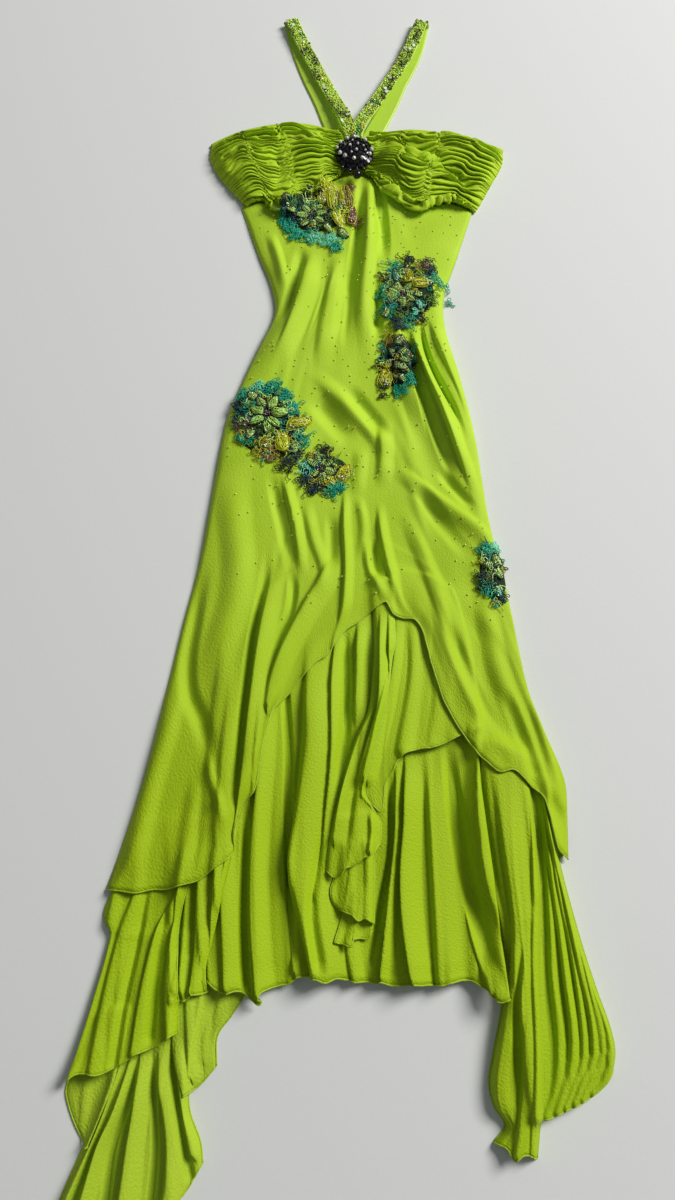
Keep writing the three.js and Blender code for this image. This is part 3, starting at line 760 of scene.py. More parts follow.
@dataclass(frozen=True)
class Finish:
    """A material of the dress: its name, its two sRGB colours and how it takes the light."""

    name: str
    colour: str
    second: str
    roughness: float = 0.6
    sheen: float = 0.0
    metallic: float = 0.0
    coat: float = 0.0
    specular: float = 0.5

    SPOTS = 220.0  # unevenness of its colour, to the metre: 4.5 mm, a few beads or stitches across

    def start(self) -> tuple[bpy.types.Material, bpy.types.NodeTree, bpy.types.Node]:
        """A new material, its nodes, and its shader set from the fields."""
        material = bpy.data.materials.new(self.name)
        material.use_nodes = True
        shader = material.node_tree.nodes["Principled BSDF"]
        values = {
            "Base Color": linear(self.colour), "Roughness": self.roughness, "Metallic": self.metallic,
            "Sheen Weight": self.sheen, "Sheen Roughness": 0.45, "Sheen Tint": linear(self.second),
            "Coat Weight": self.coat, "Specular IOR Level": self.specular,
        }
        for socket, value in values.items():
            shader.inputs[socket].default_value = value
        return material, material.node_tree, shader

    def make(self) -> bpy.types.Material:
        """The material, with a slight unevenness of colour."""
        material, tree, shader = self.start()
        where = add_node(tree, "ShaderNodeTexCoord").outputs
        spots = add_node(tree, "ShaderNodeTexNoise", {"Scale": self.SPOTS, "Detail": 2.0}, Vector=where["Object"])
        colour = add_node(
            tree, "ShaderNodeMix", {"data_type": "RGBA", 6: linear(self.colour), 7: linear(self.second)},
            _0=spots.outputs["Fac"],
        )
        tree.links.new(colour.outputs[2], shader.inputs["Base Color"])
        return material


@dataclass(frozen=True)
class Crepe(Finish):
    """Silk chiffon crepe, whose hard-twisted yarn draws it up into a fine crinkle.

    pitch and depth are the crinkle's size in millimetres, coarser than the yarn's own 0.5 mm so that it shows. Where
    the silk is lined, lined is the share of the crinkle that shows. Below the lined part its colour darkens towards the
    hem to a deeper green: painted shade, for the light that falls off there. The stretch of Y, in metres, over which
    that painted shade and the crinkle's share change runs from where the lined part ends to where it is whole.
    """

    pitch: float = 2.6
    depth: float = 1.0
    lined: float = 0.55
    # Painted shade for the light that falls off towards the hem: the deeper green the silk darkens to, over the stretch
    # of Y on the next line.
    painted_shade: str = "#A0BE10"
    lining_and_shade: Point = (-0.36, 0.10)

    CLOUDS = 22.0  # cloudiness of the dye, to the metre: 45 mm across
    CLOUD_EDGES = (0.35, 0.65)  # values of the noise between which the two colours mix

    def make(self) -> bpy.types.Material:
        """The material, with the crinkle as bump, faint cloudiness in the dye, and painted shade that darkens it
        towards the hem.
        """
        material, tree, shader = self.start()
        where = add_node(tree, "ShaderNodeTexCoord").outputs
        clouds = add_node(tree, "ShaderNodeTexNoise", {"Scale": self.CLOUDS, "Detail": 3.0}, Vector=where["Object"])
        low, high = self.CLOUD_EDGES
        shares = add_node(
            tree, "ShaderNodeMapRange", {"From Min": low, "From Max": high}, Value=clouds.outputs["Fac"]
        )
        colour = add_node(
            tree, "ShaderNodeMix", {"data_type": "RGBA", 6: linear(self.colour), 7: linear(self.second)},
            _0=shares.outputs["Result"],
        )
        # Painted shade: below the lined part the colour darkens towards the hem, for the light that falls off there;
        # the same ramp loosens the crinkle.
        axes = add_node(tree, "ShaderNodeSeparateXYZ", Vector=where["Object"])
        below = add_node(
            tree, "ShaderNodeMapRange",
            {"From Min": self.lining_and_shade[0], "From Max": self.lining_and_shade[1], "To Min": 1.0, "To Max": 0.0},
            Value=axes.outputs["Y"],
        )
        dye_and_painted_shade = add_node(
            tree, "ShaderNodeMix", {"data_type": "RGBA", 7: linear(self.painted_shade)},
            _0=below.outputs["Result"], _6=colour.outputs[2],
        )
        tree.links.new(dye_and_painted_shade.outputs[2], shader.inputs["Base Color"])
        crinkle = add_node(
            tree, "ShaderNodeTexNoise", {"Scale": 1 / (self.pitch * MM), "Detail": 2.0, "Roughness": 0.5},
            Vector=where["UV"],
        )
        looser = add_node(
            tree, "ShaderNodeMapRange", {"To Min": self.lined, "To Max": 1.0}, Value=below.outputs["Result"]
        )
        bump = add_node(
            tree, "ShaderNodeBump", {"Distance": self.depth * MM},
            Height=crinkle.outputs["Fac"], Strength=looser.outputs["Result"],
        )
        tree.links.new(bump.outputs["Normal"], shader.inputs["Normal"])
        return material


# Piece-dyed silk crepe, dull and powdery: light spreads softly over it, and its shine is only a pale veil on folds.
CHIFFON = Crepe("silk chiffon crepe", "#B6D836", "#AFD22C", roughness=0.66, sheen=0.03, specular=0.2)
# The same silk unlined, at the train: the pale surface that glows through it is painted into its colour, a little
# yellower and lighter, and its painted shade towards the hem is lighter too.
CHIFFON_SINGLE = Crepe(
    "silk chiffon, one layer", "#B6D440", "#AECD33", roughness=0.64, sheen=0.04, specular=0.2, painted_shade="#AAC62C"
)
# The same silk, drawn up over the cups: its colour is painted a little richer and darker, for the light that each pleat
# throws on the next one.
RUCHED = Crepe("silk chiffon, ruched", "#B2D22A", "#A8C820", roughness=0.66, sheen=0.03, specular=0.2, depth=0.9)
# Warp-faced satin, pressed flat: its floats lie one way, so it is the one cloth here with a soft gloss.
SATIN = Finish("polyester satin band", "#B2D638", "#BCDC48", roughness=0.38, sheen=0.1)
# The rolled hem: silk wound tight round itself and stitched, a fine bright cord along each free edge.
HEM = Crepe("rolled hem of silk chiffon", "#BAD84C", "#AECE3C", roughness=0.55, sheen=0.1)

STRAP_BEADS = ("black green glass", "olive glass", "lime glass", "yellow glass", "green glass", "clear glass",
               "smoke glass")

NOTIONS = (
    # Pressed glass, fire-polished: wet-looking, with one sharp point of light on each bead.
    Finish("lime glass", "#C2E84A", "#D4F070", roughness=0.18, coat=0.4),
    Finish("olive glass", "#7C9C1C", "#92B028", roughness=0.15, coat=0.4),
    Finish("black green glass", "#22350F", "#3A4F16", roughness=0.12, coat=0.4),
    Finish("yellow glass", "#CFC51E", "#E2D63A", roughness=0.15, coat=0.4),
    Finish("green glass", "#3F8F3A", "#2F7F4A", roughness=0.12, coat=0.4),
    # Clear and smoky glass over pale thread: almost white, or brown with a glint.
    Finish("clear glass", "#E2ECD0", "#F2F8E8", roughness=0.06, coat=0.5),
    Finish("smoke glass", "#4A3A2A", "#6A5638", roughness=0.1, coat=0.4),
    # Blackened brass, brushed: a dull dark ground that lets the jet and the pearls stand out.
    Finish("black setting", "#0C0B0E", "#151318", roughness=0.35, metallic=0.4),
    # Moulded black glass: near black, with hard grey glints on its flats.
    Finish("jet", "#08080B", "#14121A", roughness=0.2, coat=0.3),
    # Lacquered glass pearls: a cool grey body under a clear skin, so the glint sits on a soft glow.
    Finish("pearl", "#C9C6C2", "#DAD8D6", roughness=0.16, coat=0.6),
    # Wool felt, pressed, with no gloss at all: a dark ground under the stitches, whose near-black green is partly
    # painted shade, so that the ground falls back as the shadow between them.
    Finish("felt", "#12280F", "#1D3814", roughness=0.95),
    # Spun wool yarn: matt and a little woolly, dark between its threads.
    Finish("moss yarn", "#4E7A22", "#66922C", roughness=0.6),
    # Stranded silk in satin stitch: smooth floats that gleam along the thread.
    Finish("petal silk", "#98D648", "#B4E668", roughness=0.38, coat=0.2),
    # Pale green silk: real pale stitches, made paler and laid more widely as painted highlight on the petals.
    Finish("pale green silk", "#D6F492", "#BCE86A", roughness=0.3, coat=0.25),
    Finish("old gold silk", "#C6C62C", "#9E9E1C", roughness=0.32, coat=0.2),
    Finish("yellow silk", "#E4EC34", "#D2DC2A", roughness=0.32, coat=0.2),
    # Twisted cotton cord: dull and nearly black, it draws the outline of each petal.
    Finish("black green cord", "#0B1A12", "#13261A", roughness=0.6),
    # Loose acrylic yarns: bright, with a faint halo of loose fibres.
    Finish("teal yarn", "#18BC94", "#0F9274", roughness=0.42, sheen=0.1),
    Finish("light teal yarn", "#96F0CA", "#58CEA2", roughness=0.5, sheen=0.1),
    Finish("navy yarn", "#0A2832", "#0E3C46", roughness=0.5),
    # Thread wound with copper foil: half metal and half cloth, so it glints warm here and there.
    Finish("copper thread", "#BC9270", "#8A6044", roughness=0.35, metallic=0.4),
    # Garnet-red glass: almost black at the hearts of the flowers, with a wine-red edge.
    Finish("garnet bead", "#4A0F16", "#2C080E", roughness=0.12, coat=0.5),
)


# --- Panels of cloth ---


@dataclass(frozen=True)
class Panel:
    """One panel of cloth, drawn between its four edges: left and right from the top down, top and hem across.

    crown is how far it stands up between its sides, at even steps from its top to its hem, and shoulder how far in
    from a side it does so. bridge, blur and fall say how it takes the form of what lies under it, fade how far below
    its top its relief begins, and settle how far above its hem it sinks back to rest on what lies below. ease is how
    many times its inner points are eased apart. A filled panel is a bundle of gathers, closed below. in_cad is False
    for a lap that the CAD model has no node for. flat and area, the size of the cut that shows in metres, are not used.
    """

    part: str
    left: Curve
    top: Curve
    right: Curve
    hem: Curve
    flat: Point
    area: float
    in_cad: bool = True
    slot: str = "chiffon"
    finish: Finish = CHIFFON
    rests_on: tuple[str, ...] = ()
    step: Point = (3.0, 5.0)
    crown: tuple[float, ...] = (0.0,)
    shoulder: float = 12.0
    folds: tuple[Fold, ...] = ()
    ripples: tuple[Ripple, ...] = ()
    waves: tuple[HemWave, ...] = ()
    bridge: float = 12.0
    blur: float = 3.0
    fall: float = 1.1
    fade: float = 0.0
    settle: float = 0.0
    ease: int = 0
    filled: bool = False
    edges: str = "hem"

    SIDE = 5.0  # how far in from its sides its folds reach their height
    SETTLED = 0.3  # share of its relief that is left at a settled hem

    def relaxed(self, plan: Array) -> Array:
        """The plan with its inner points eased apart.

        Args:
            plan: its points, (rows, columns, 2).

        Returns:
            The same, without two columns that cross above a steep part of the hem.
        """
        for _ in range(self.ease):
            across, down = (plan[1:-1, 2:] - plan[1:-1, :-2]) / 2, (plan[2:, 1:-1] - plan[:-2, 1:-1]) / 2
            twist = (plan[2:, 2:] - plan[2:, :-2] - plan[:-2, 2:] + plan[:-2, :-2]) / 4
            wide, tall = (across**2).sum(-1, keepdims=True), (down**2).sum(-1, keepdims=True)
            slant = (across * down).sum(-1, keepdims=True)
            beside = tall * (plan[1:-1, 2:] + plan[1:-1, :-2]) + wide * (plan[2:, 1:-1] + plan[:-2, 1:-1])
            plan[1:-1, 1:-1] = (beside - 2 * slant * twist) / (2 * (wide + tall))
        return plan

    def relief(self, x: Array, y: Array, u: Array, v: Array) -> tuple[Array, Array]:
        """How the panel stands off what it lies on.

        Args:
            x, y: its points in the plan.
            u, v: their shares across and down.

        Returns:
            Heights, and how far the cloth is moved along X and Y, (rows, columns, 2).
        """
        length, width = Line(self.left).length, Line(self.hem).length
        inward = np.minimum(np.hypot(x - x[:, :1], y - y[:, :1]), np.hypot(x - x[:, -1:], y - y[:, -1:]))
        steps = max(2, len(self.crown))
        lift = np.interp(v, np.linspace(0, 1, steps), np.resize(self.crown, steps)) * shoulder(inward / self.shoulder)
        shift = np.zeros((*x.shape, 2))
        held = smooth(inward / self.SIDE)
        for fold in self.folds:
            height, over_x, over_y = fold.lift(x, y)
            lift = lift + height * held
            shift += np.stack([over_x, over_y], axis=-1) * held[..., None]
        for ripple in self.ripples:
            lift = lift + ripple.lift(u, v, length) * held
        for wave in self.waves:
            height, over_y = wave.lift(u, v, width, length)
            lift = lift + height
            shift[..., 1] += over_y
        lift = lift * smooth(v * length / max(self.fade, 1e-3))
        if self.settle:
            lift = lift * mix(self.SETTLED, 1, smooth((1 - v) * length / self.settle))
        return (lift + np.sqrt(lift**2 + 1)) / 2 - 0.5 * np.exp(-np.abs(lift)), shift  # troughs end softly at 0

    def form(self, pile: Pile) -> tuple[Array, Array]:
        """The panel as it lies on the pile, which it raises.

        Args:
            pile: what it lies on.

        Returns:
            Its upper and its lower surface, (rows, columns, 3).
        """
        edges = left, top, right, hem = [Line(edge) for edge in (self.left, self.top, self.right, self.hem)]
        columns = int(max(top.length, hem.length) / self.step[0]) + 1
        rows = int(max(left.length, right.length) / self.step[1]) + 1
        plan, u, v = between(edges, columns, rows)
        plan = self.relaxed(plan)
        x, y = plan[..., 0], plan[..., 1]
        base = cleared(pile.read(pile.support(self.bridge, self.blur, self.fall), x, y))
        lift, shift = self.relief(x, y, u, v)
        upper = np.stack([x + shift[..., 0], y + shift[..., 1], base + np.maximum(lift, 0) + CLOTH], axis=-1)
        pile.lay(upper)
        if self.filled:
            return upper, np.stack([x, y, base], axis=-1)
        under = upper - CLOTH * normals(upper)
        under[..., 2] = np.maximum(under[..., 2], 0)
        return upper, under

    def build(self, shop: Workshop) -> None:
        """Args:
            shop: where it is made.
        """
        top, under = self.form(shop.pile)
        shape = Shape()
        shape.add_shell(top, under, cloth_coords(top))
        sides = {"left": top[:, 0], "right": top[:, -1], "top": top[0], "hem": top[-1]}
        for edge in self.edges.split():
            path = sides[edge] - np.array([0, 0, CLOTH / 2])
            path[:, 2] = np.maximum(path[:, 2], HEM_RADIUS)
            shape.add_tube(path, HEM_RADIUS, finish=1)
        nodes = (self.part,) if self.in_cad else ()
        thing = shop.piece(f"{self.part}_cloth", shape, [self.finish.name, HEM.name], nodes)


BACK = Panel(
    "back_panel",
    left=(-196, 4, -155, -91, -112, -229, -105, -270, -142, -376, -168, -511, -196, -694, -236, -881, -270, -1034),
    top=(-196, 4, -100, 12, 0, 12, 100, 12, 205, 2),
    right=(205, 2, 164, -100, 116, -245, 116, -292, 146, -455, 178, -681, 208, -842, 226, -900, 222, -962),
    hem=(-270, -1034, -150, -1062, 0, -1070, 120, -1066, 222, -962),
    flat=(0.50, 1.08), area=0.38, step=(7, 8),
)

TRAIN_LEFT = Panel(
    "train_left", slot="chiffon_single", finish=CHIFFON_SINGLE,
    left=(-246, -1044, -252, -1118, -256, -1190, -276, -1240, -294, -1284, -318, -1350),
    top=(-246, -1044, -206, -1040, -164, -1044),
    right=(-164, -1044, -164, -1100, -172, -1160, -173, -1205, -160, -1236, -157, -1254),
    hem=(-318, -1350, -300, -1362, -268, -1352, -232, -1338, -196, -1306, -176, -1284, -157, -1254),
    flat=(0.20, 0.30), area=0.045, rests_on=("back_panel_cloth",), step=(1.7, 3.8), crown=(3, 4), filled=True,
    shoulder=10, fade=70, edges="left hem right",
    folds=(
        Fold((-236, -1140, -248, -1191, -260, -1228, -286, -1290, -308, -1354), (6.5, 9.1), (5, 10), 0.3, 0.3, 1),
        Fold((-234, -1140, -249, -1202, -266, -1250, -284, -1300, -296, -1350), (-5.2, -10.4), (3.5, 7), 0, -0.2, 1),
        Fold((-230, -1140, -240, -1198, -257, -1243, -269, -1290, -281, -1348), (7.8, 11.7), (4, 8), 0.5, 0.4, 1),
        Fold((-227, -1140, -232, -1195, -246, -1240, -250, -1290, -258, -1345), (-5.2, -10.4), (3.5, 7), 0, -0.2, 1),
        Fold((-222, -1140, -222, -1198, -226, -1240, -230, -1290, -240, -1340), (9.1, 13), (6, 13), 0.5, 0.3, 1),
        Fold((-214, -1140, -208, -1198, -204, -1240, -206, -1290, -212, -1322), (-5.2, -7.8), (3.5, 6), 0, -0.2, 1),
        Fold((-206, -1140, -199, -1183, -187, -1232, -186, -1280, -192, -1304), (7.8, 11.7), (7, 14), 0.5, 0.2, 1),
        Fold((-194, -1140, -184, -1198, -174, -1240, -168, -1264), (-5.2, -6.5), (4, 6), 0, -0.2, 1),
        Fold((-188, -1140, -178, -1195, -165, -1244), (6.5, 6.5), (5, 7), 0.4, 0.4, 1),
    ),
    ripples=(Ripple(9, 170, (0.6, 1.8), 11),),
)

TRAIN_LEFT_OUTER = Panel(
    "train_left_outer_flap", slot="chiffon_single", finish=CHIFFON_SINGLE,
    left=(-266, -1120, -282, -1160, -295, -1180, -298, -1190, -294, -1204, -284, -1224, -274, -1238),
    top=(-266, -1120, -254, -1114, -238, -1112),
    right=(-238, -1112, -243, -1150, -249, -1185, -259, -1212, -269, -1238),
    hem=(-274, -1238, -272, -1239, -269, -1238),
    flat=(0.045, 0.13), area=0.0045, rests_on=("train_left_cloth",), step=(1.4, 3), crown=(1.5,), shoulder=10,
    edges="left hem",
    folds=(Fold((-262, -1130, -276, -1175, -279, -1225), (2, 2.5), (8, 6), 0.3, 0.2, 0.4),),
    ripples=(Ripple(4, 60, (0.5, 0.8), 12),),
)

TRAIN_LEFT_INNER = Panel(
    "train_left_inner_flap", slot="chiffon_single", finish=CHIFFON_SINGLE,
    left=(-192, -1066, -194, -1110, -192, -1150, -178, -1194),
    top=(-192, -1066, -150, -1066, -116, -1076),
    right=(-116, -1076, -120, -1100, -134, -1122, -147, -1140, -147, -1168),
    hem=(-178, -1194, -164, -1186, -147, -1168),
    flat=(0.08, 0.13), area=0.0075, rests_on=("train_left_cloth",), step=(1.4, 3), crown=(1.5,), shoulder=12, fade=30,
    edges="hem right",
    folds=(
        Fold((-180, -1080, -176, -1120, -170, -1176), (3, 4.5), (7, 8), 0.5, 0.5, 1),
        Fold((-162, -1080, -164, -1110, -160, -1160), (2, 2.5), (8, 8), 0.4, 0.6, 0.6),
        Fold((-144, -1080, -144, -1105, -150, -1140), (2, 2), (9, 8), 0.4, 0.3, 0.5),
    ),
    ripples=(Ripple(5, 90, (0.2, 0.8), 13),),
)

TRAIN_RIGHT = Panel(
    "train_right",
    left=(134, -830, 146, -960, 160, -1080, 164, -1150, 170, -1210),
    top=(134, -830, 170, -846, 210, -872),
    right=(210, -872, 215, -950, 232, -1040, 246, -1095, 257, -1132, 260, -1154, 256, -1173),
    hem=(170, -1210, 182, -1215, 203, -1208, 222, -1200, 244, -1186, 256, -1173),
    flat=(0.16, 0.38), area=0.034, rests_on=("back_panel_cloth",), step=(1.2, 2.4), crown=(4, 6), filled=True,
    shoulder=9, fade=40, edges="hem right",
    folds=(
        Fold((196, -870, 201, -921, 203, -1008, 201, -1087, 203, -1146, 197, -1186, 186, -1213), (6, 7), (5, 8.5), 0.35,
             0.2, 0.5),
        Fold((199, -870, 204, -921, 210, -1004, 214, -1079, 217, -1139, 212, -1172, 197, -1209), (8, 10), (4.5, 8),
             0.35, 0.3, 0.5),
        Fold((201, -870, 207, -921, 216, -1004, 224, -1071, 228, -1132, 226, -1161, 215, -1188, 206, -1205), (7, 8),
             (4, 6.5), 0.4, 0.3, 0.5),
        Fold((203, -870, 208, -923, 222, -1012, 231, -1075, 238, -1132, 236, -1161, 223, -1186, 215, -1201), (8, 9),
             (4, 6.5), 0.35, 0.3, 0.5),
        Fold((205, -880, 209, -928, 228, -1020, 239, -1087, 246, -1133, 245, -1161, 232, -1183, 223, -1198), (6, 7),
             (3.5, 6), 0.4, 0.4, 0.5),
        Fold((207, -890, 211, -938, 232, -1032, 245, -1094, 254, -1133, 253, -1161, 246, -1179, 234, -1193), (6, 8),
             (3.5, 6), 0.35, 0.4, 0.5),
        Fold((184, -860, 186, -921, 188, -1008, 184, -1087, 182, -1146, 180, -1212), (3, 3), (6, 9), 0.35, 0.2, 0.5),
    ),
    ripples=(Ripple(12, 300, (0.8, 0.4), 15),),
)

TRAIN_RIGHT_FLAP = Panel(
    "train_right_flap",
    left=(126, -822, 129, -860, 128, -925, 131, -980, 140, -1020, 149, -1066, 150, -1094, 146, -1118, 136, -1156,
          130, -1184, 134, -1204, 144, -1221, 132, -1235),
    top=(126, -822, 150, -828, 186, -842),
    right=(186, -842, 190, -909, 192, -1008, 186, -1087, 184, -1161, 180, -1210, 174, -1251),
    hem=(132, -1235, 142, -1240, 152, -1249, 161, -1244, 174, -1251),
    flat=(0.10, 0.44), area=0.030, rests_on=("train_right_cloth", "back_panel_cloth"), step=(1.1, 3.8),
    crown=(12, 12, 12, 13, 9), shoulder=14, fade=20, edges="left hem right",
    folds=(
        # the edge strip, then the broad ribbon that narrows and swings left, then the two beside it
        Fold((131, -850, 132, -925, 136, -980, 145, -1020, 150, -1060), (10, 7), (5, 5), 0.4, 0.5, 0.2),
        Fold((134, -860, 137, -947, 144, -1016, 151, -1071), (-7, -5), (4, 4), 0, -0.4, 0.3),
        Fold((150, -850, 155, -900, 160, -960, 164, -1008, 165, -1045, 158, -1086, 148, -1131, 139, -1170, 138, -1200),
             (9, 7), (17, 11), 0.6, 0.4, 0.5),
        Fold((182, -860, 188, -909, 185, -1008, 180, -1086, 178, -1161, 170, -1245), (4, 5), (7, 9), 0.6, 0.4, 1),
        Fold((176, -1030, 172, -1071, 167, -1109, 166, -1160, 160, -1215, 154, -1245), (4, 6), (7, 11), 0.6, 0.4, 1),
        Fold((170, -1050, 162, -1100, 157, -1150, 156, -1200), (-6, -4), (4, 5), 0, -0.2, 0.3),
    ),
    ripples=(Ripple(8, 180, (0.6, 1.6), 17),), waves=(HemWave(3, 16, 26, 18, 2.5),),
)

UNDERSKIRT = Panel(
    "underskirt",
    left=(-158, -730, -170, -880, -170, -1000, -160, -1086),
    top=(-158, -730, -80, -640, 20, -600, 90, -640, 140, -730),
    right=(140, -730, 134, -870, 144, -1000, 152, -1104),
    hem=(-160, -1086, -146, -1097, -121, -1098, -112, -1105, -104, -1108, -98, -1100, -81, -1092, -59, -1083,
         -30, -1085, 0, -1086, 26, -1090, 84, -1091, 118, -1089, 130, -1096, 142, -1106, 152, -1104),
    flat=(0.40, 0.46), area=0.15, rests_on=("back_panel_cloth",), step=(1.8, 5.2), crown=(4, 6), shoulder=14, fade=60,
    folds=(
        Fold((-142, -760, -148, -930, -136, -1092), (4.4, 8.8), (9, 10), 0.63, 0.3, 1),
        Fold((-104, -760, -107, -860, -112, -946, -110, -1028, -102, -1100), (6.6, 11), (10, 11), 0.63, 0.3, 1),
        Fold((-124, -900, -124, -953, -123, -1028, -118, -1090), (-6.6, -9.9), (6, 7), 0, -0.3, 1),
        Fold((-84, -740, -83, -787, -78, -854, -78, -918, -74, -995, -68, -1062), (-11, -14.3), (6, 7), 0, -0.2, 0.5),
        Fold((-46, -700, -52, -762, -49, -838, -57, -918, -64, -976, -52, -1030, -40, -1082), (12.1, 16.5), (24, 24),
             0.63, 0.1, 1),
        Fold((-60, -760, -62, -850, -68, -930, -74, -1000, -66, -1080), (3.3, 5.5), (7, 8), 0.72, 0.2, 1),
        Fold((-24, -690, -25, -760, -24, -850, -32, -930, -42, -1000), (8.8, 7.7), (8, 10), 0.85, 0.4, 0.3),
        Fold((-16, -700, -13, -740, -12, -774, -14, -837, -22, -900), (-9.9, -9.9), (6, 6), 0, -0.2),
        Fold((-34, -930, -42, -979, -45, -1017, -36, -1070), (-5.5, -8.8), (6, 8), 0, -0.3, 1),
        Fold((2, -690, 2, -760, -2, -840), (7.7, 7.7), (8, 9), 0.63, 0.3),
        Fold((-12, -1040, -10, -1060, -4, -1086), (3.3, 6.6), (8, 9), 0.63, 0.3, 1),
        Fold((34, -870, 35, -957, 23, -1013, 12, -1066), (-9.9, -11), (6, 6), 0, -0.2, 0.6),
        Fold((42, -850, 43, -930, 35, -1000, 24, -1088), (6.6, 9.9), (5, 6), 0.72, 0.5, 1),
        Fold((53, -840, 56, -918, 51, -976, 52, -1028, 60, -1088), (11, 14.3), (10, 11), 0.85, 0.3, 1),
        Fold((80, -850, 82, -918, 84, -1000, 86, -1088), (6.6, 8.8), (17, 19), 0.63, 0, 1),
        Fold((99, -830, 107, -918, 114, -976, 124, -1028, 132, -1070), (-9.9, -14.3), (10, 12), 0, -0.1, 0.4),
        Fold((112, -1000, 122, -1050, 138, -1100), (3.3, 7.7), (8, 9), 0.63, 0.4, 1),
    ),
    ripples=(Ripple(20, 240, (0.6, 2.0), 21),), waves=(HemWave(5, 13, 26, 23, 3.0),),
)

TIER_INNER = Panel(
    "tier_left_inner",
    left=(-208, -930, -202, -1000, -196, -1060, -192, -1106),
    top=(-208, -930, -176, -926, -128, -916),
    right=(-128, -916, -138, -965, -148, -1017, -155, -1051, -160, -1073, -158, -1098),
    hem=(-192, -1106, -182, -1106, -171, -1100, -158, -1098),
    flat=(0.09, 0.19), area=0.0125, rests_on=("underskirt_cloth", "train_left_cloth"), step=(1.3, 3.4), crown=(2,),
    shoulder=8, fade=55, edges="hem",
    folds=(
        Fold((-150, -930, -152, -976, -154, -1040, -160, -1090), (4.1, 6.8), (5, 6), 0.78, 0.6, 1),
        Fold((-166, -930, -169, -982, -169, -1060, -171, -1097), (6.8, 8.1), (6, 7), 0.65, 0.5, 1),
        Fold((-184, -930, -184, -1020, -186, -1095), (4.1, 5.4), (6, 6), 0.45, 0.5, 1),
        Fold((-136, -930, -141, -968, -146, -1017, -150, -1040), (5.4, 4.1), (5, 5), 0.45, 0.6, 0.3),
    ),
    ripples=(Ripple(6, 160, (0.4, 1.6), 25),), waves=(HemWave(2.5, 14, 20, 26),),
)

TIER_OUTER = Panel(
    "tier_left_outer",
    left=(-240, -930, -256, -980, -270, -1006, -274, -1026, -266, -1040, -269, -1066, -276, -1098, -286, -1141,
          -297, -1183),
    top=(-240, -930, -214, -926, -182, -920),
    right=(-182, -920, -185, -993, -192, -1035, -190, -1073, -187, -1106, -186, -1135),
    hem=(-297, -1183, -284, -1174, -260, -1172, -236, -1160, -207, -1147, -187, -1135),
    flat=(0.16, 0.27), area=0.027, rests_on=("tier_left_inner_cloth", "train_left_cloth"), step=(1.3, 3.4),
    crown=(3, 5), shoulder=10, fade=60, edges="hem right",
    folds=(
        Fold((-236, -950, -238, -1001, -250, -1040, -262, -1106, -268, -1172), (4.1, 6.1), (8, 11), 0.39, 0.2, 1),
        Fold((-226, -960, -229, -1003, -235, -1051, -243, -1100, -249, -1165), (-3.1, -5.1), (6, 7), 0, -0.3, 1),
        Fold((-186, -940, -190, -996, -210, -1035, -221, -1085, -228, -1155), (5.1, 6.1), (7, 9), 0.56, 0.4, 1),
        Fold((-196, -990, -207, -1040, -212, -1085, -214, -1140), (-4.1, -6.1), (5, 6), 0, -0.4, 1),
        Fold((-182, -940, -188, -998, -197, -1062, -197, -1106, -192, -1140), (4.1, 6.1), (6, 8), 0.56, 0.5, 1),
        Fold((-256, -960, -266, -1040, -280, -1110, -292, -1175), (3.1, 5.1), (8, 9), 0.39, 0.2, 1),
    ),
    ripples=(Ripple(6, 200, (0.4, 1.6), 27),), waves=(HemWave(3.5, 18, 26, 28),),
)

MIDDLE_PETAL = Panel(
    "middle_petal",
    left=(14, -640, 22, -720, 14, -800, 2, -860, 4, -897),
    top=(14, -640, 60, -636, 112, -660),
    right=(112, -660, 126, -720, 134, -780, 138, -826),
    hem=(4, -897, 14, -909, 24, -917, 27, -903, 29, -886, 38, -873, 44, -861, 61, -849, 82, -847, 99, -841, 117, -832,
         138, -826),
    flat=(0.16, 0.25), area=0.026, rests_on=("underskirt_cloth",), step=(1.5, 3.6), crown=(1, 3), shoulder=12,
    folds=(
        Fold((48, -680, 44, -740, 33, -800, 10, -880), (4, 6), (6, 8), 0.5, 0.3, 1),
        Fold((62, -680, 64, -760, 48, -850), (2, 5), (9, 13), 0.35, 0, 1),
        Fold((88, -690, 94, -760, 84, -840), (2, 3), (10, 13), 0.35, 0, 1),
    ),
    ripples=(Ripple(7, 130, (0.4, 1.4), 31),), waves=(HemWave(4, 20, 24, 32),),
)

CASCADE_LOWER = Panel(
    "cascade_lower",
    left=(-6, -955, -12, -1000, -19, -1026, -27, -1050),
    top=(-6, -955, 4, -952, 15, -950),
    right=(15, -950, 16, -990, 13, -1038),
    hem=(-27, -1050, -18, -1052, -9, -1054, -7, -1048, 0, -1047, 8, -1046, 13, -1038),
    flat=(0.05, 0.11), area=0.0038, rests_on=("underskirt_cloth",), step=(0.9, 2.2), crown=(2,), shoulder=7,
    edges="left hem right",
    folds=(Fold((2, -990, -3, -1020, -10, -1050), (2.6, 3.2), (9, 11), 0.2, 0, 1),),
    waves=(HemWave(1.6, 15, 18, 34, 1.2),),
)

CASCADE_MIDDLE = Panel(
    "cascade_middle", in_cad=False,
    left=(-16, -925, -24, -960, -27, -985, -31, -998, -28, -1011, -22, -1016),
    top=(-16, -925, 0, -920, 14, -916),
    right=(14, -916, 15, -957, 15, -999, 15, -1032),
    hem=(-22, -1016, -13, -1021, -3, -1028, 5, -1026, 15, -1032),
    flat=(0.055, 0.12), area=0.0048, rests_on=("cascade_lower_cloth", "underskirt_cloth"), step=(0.9, 2.2),
    crown=(2, 3), shoulder=6, edges="left hem right",
    folds=(
        Fold((-12, -940, -14, -980, -15, -1014), (2.2, 3.2), (10, 12), 0.2, 0, 1),
        Fold((9, -940, 9, -990, 8, -1028), (2.2, 2.6), (7, 7), 0.3, 0.3, 1),
    ),
    waves=(HemWave(3, 12, 18, 35, 2),),
)

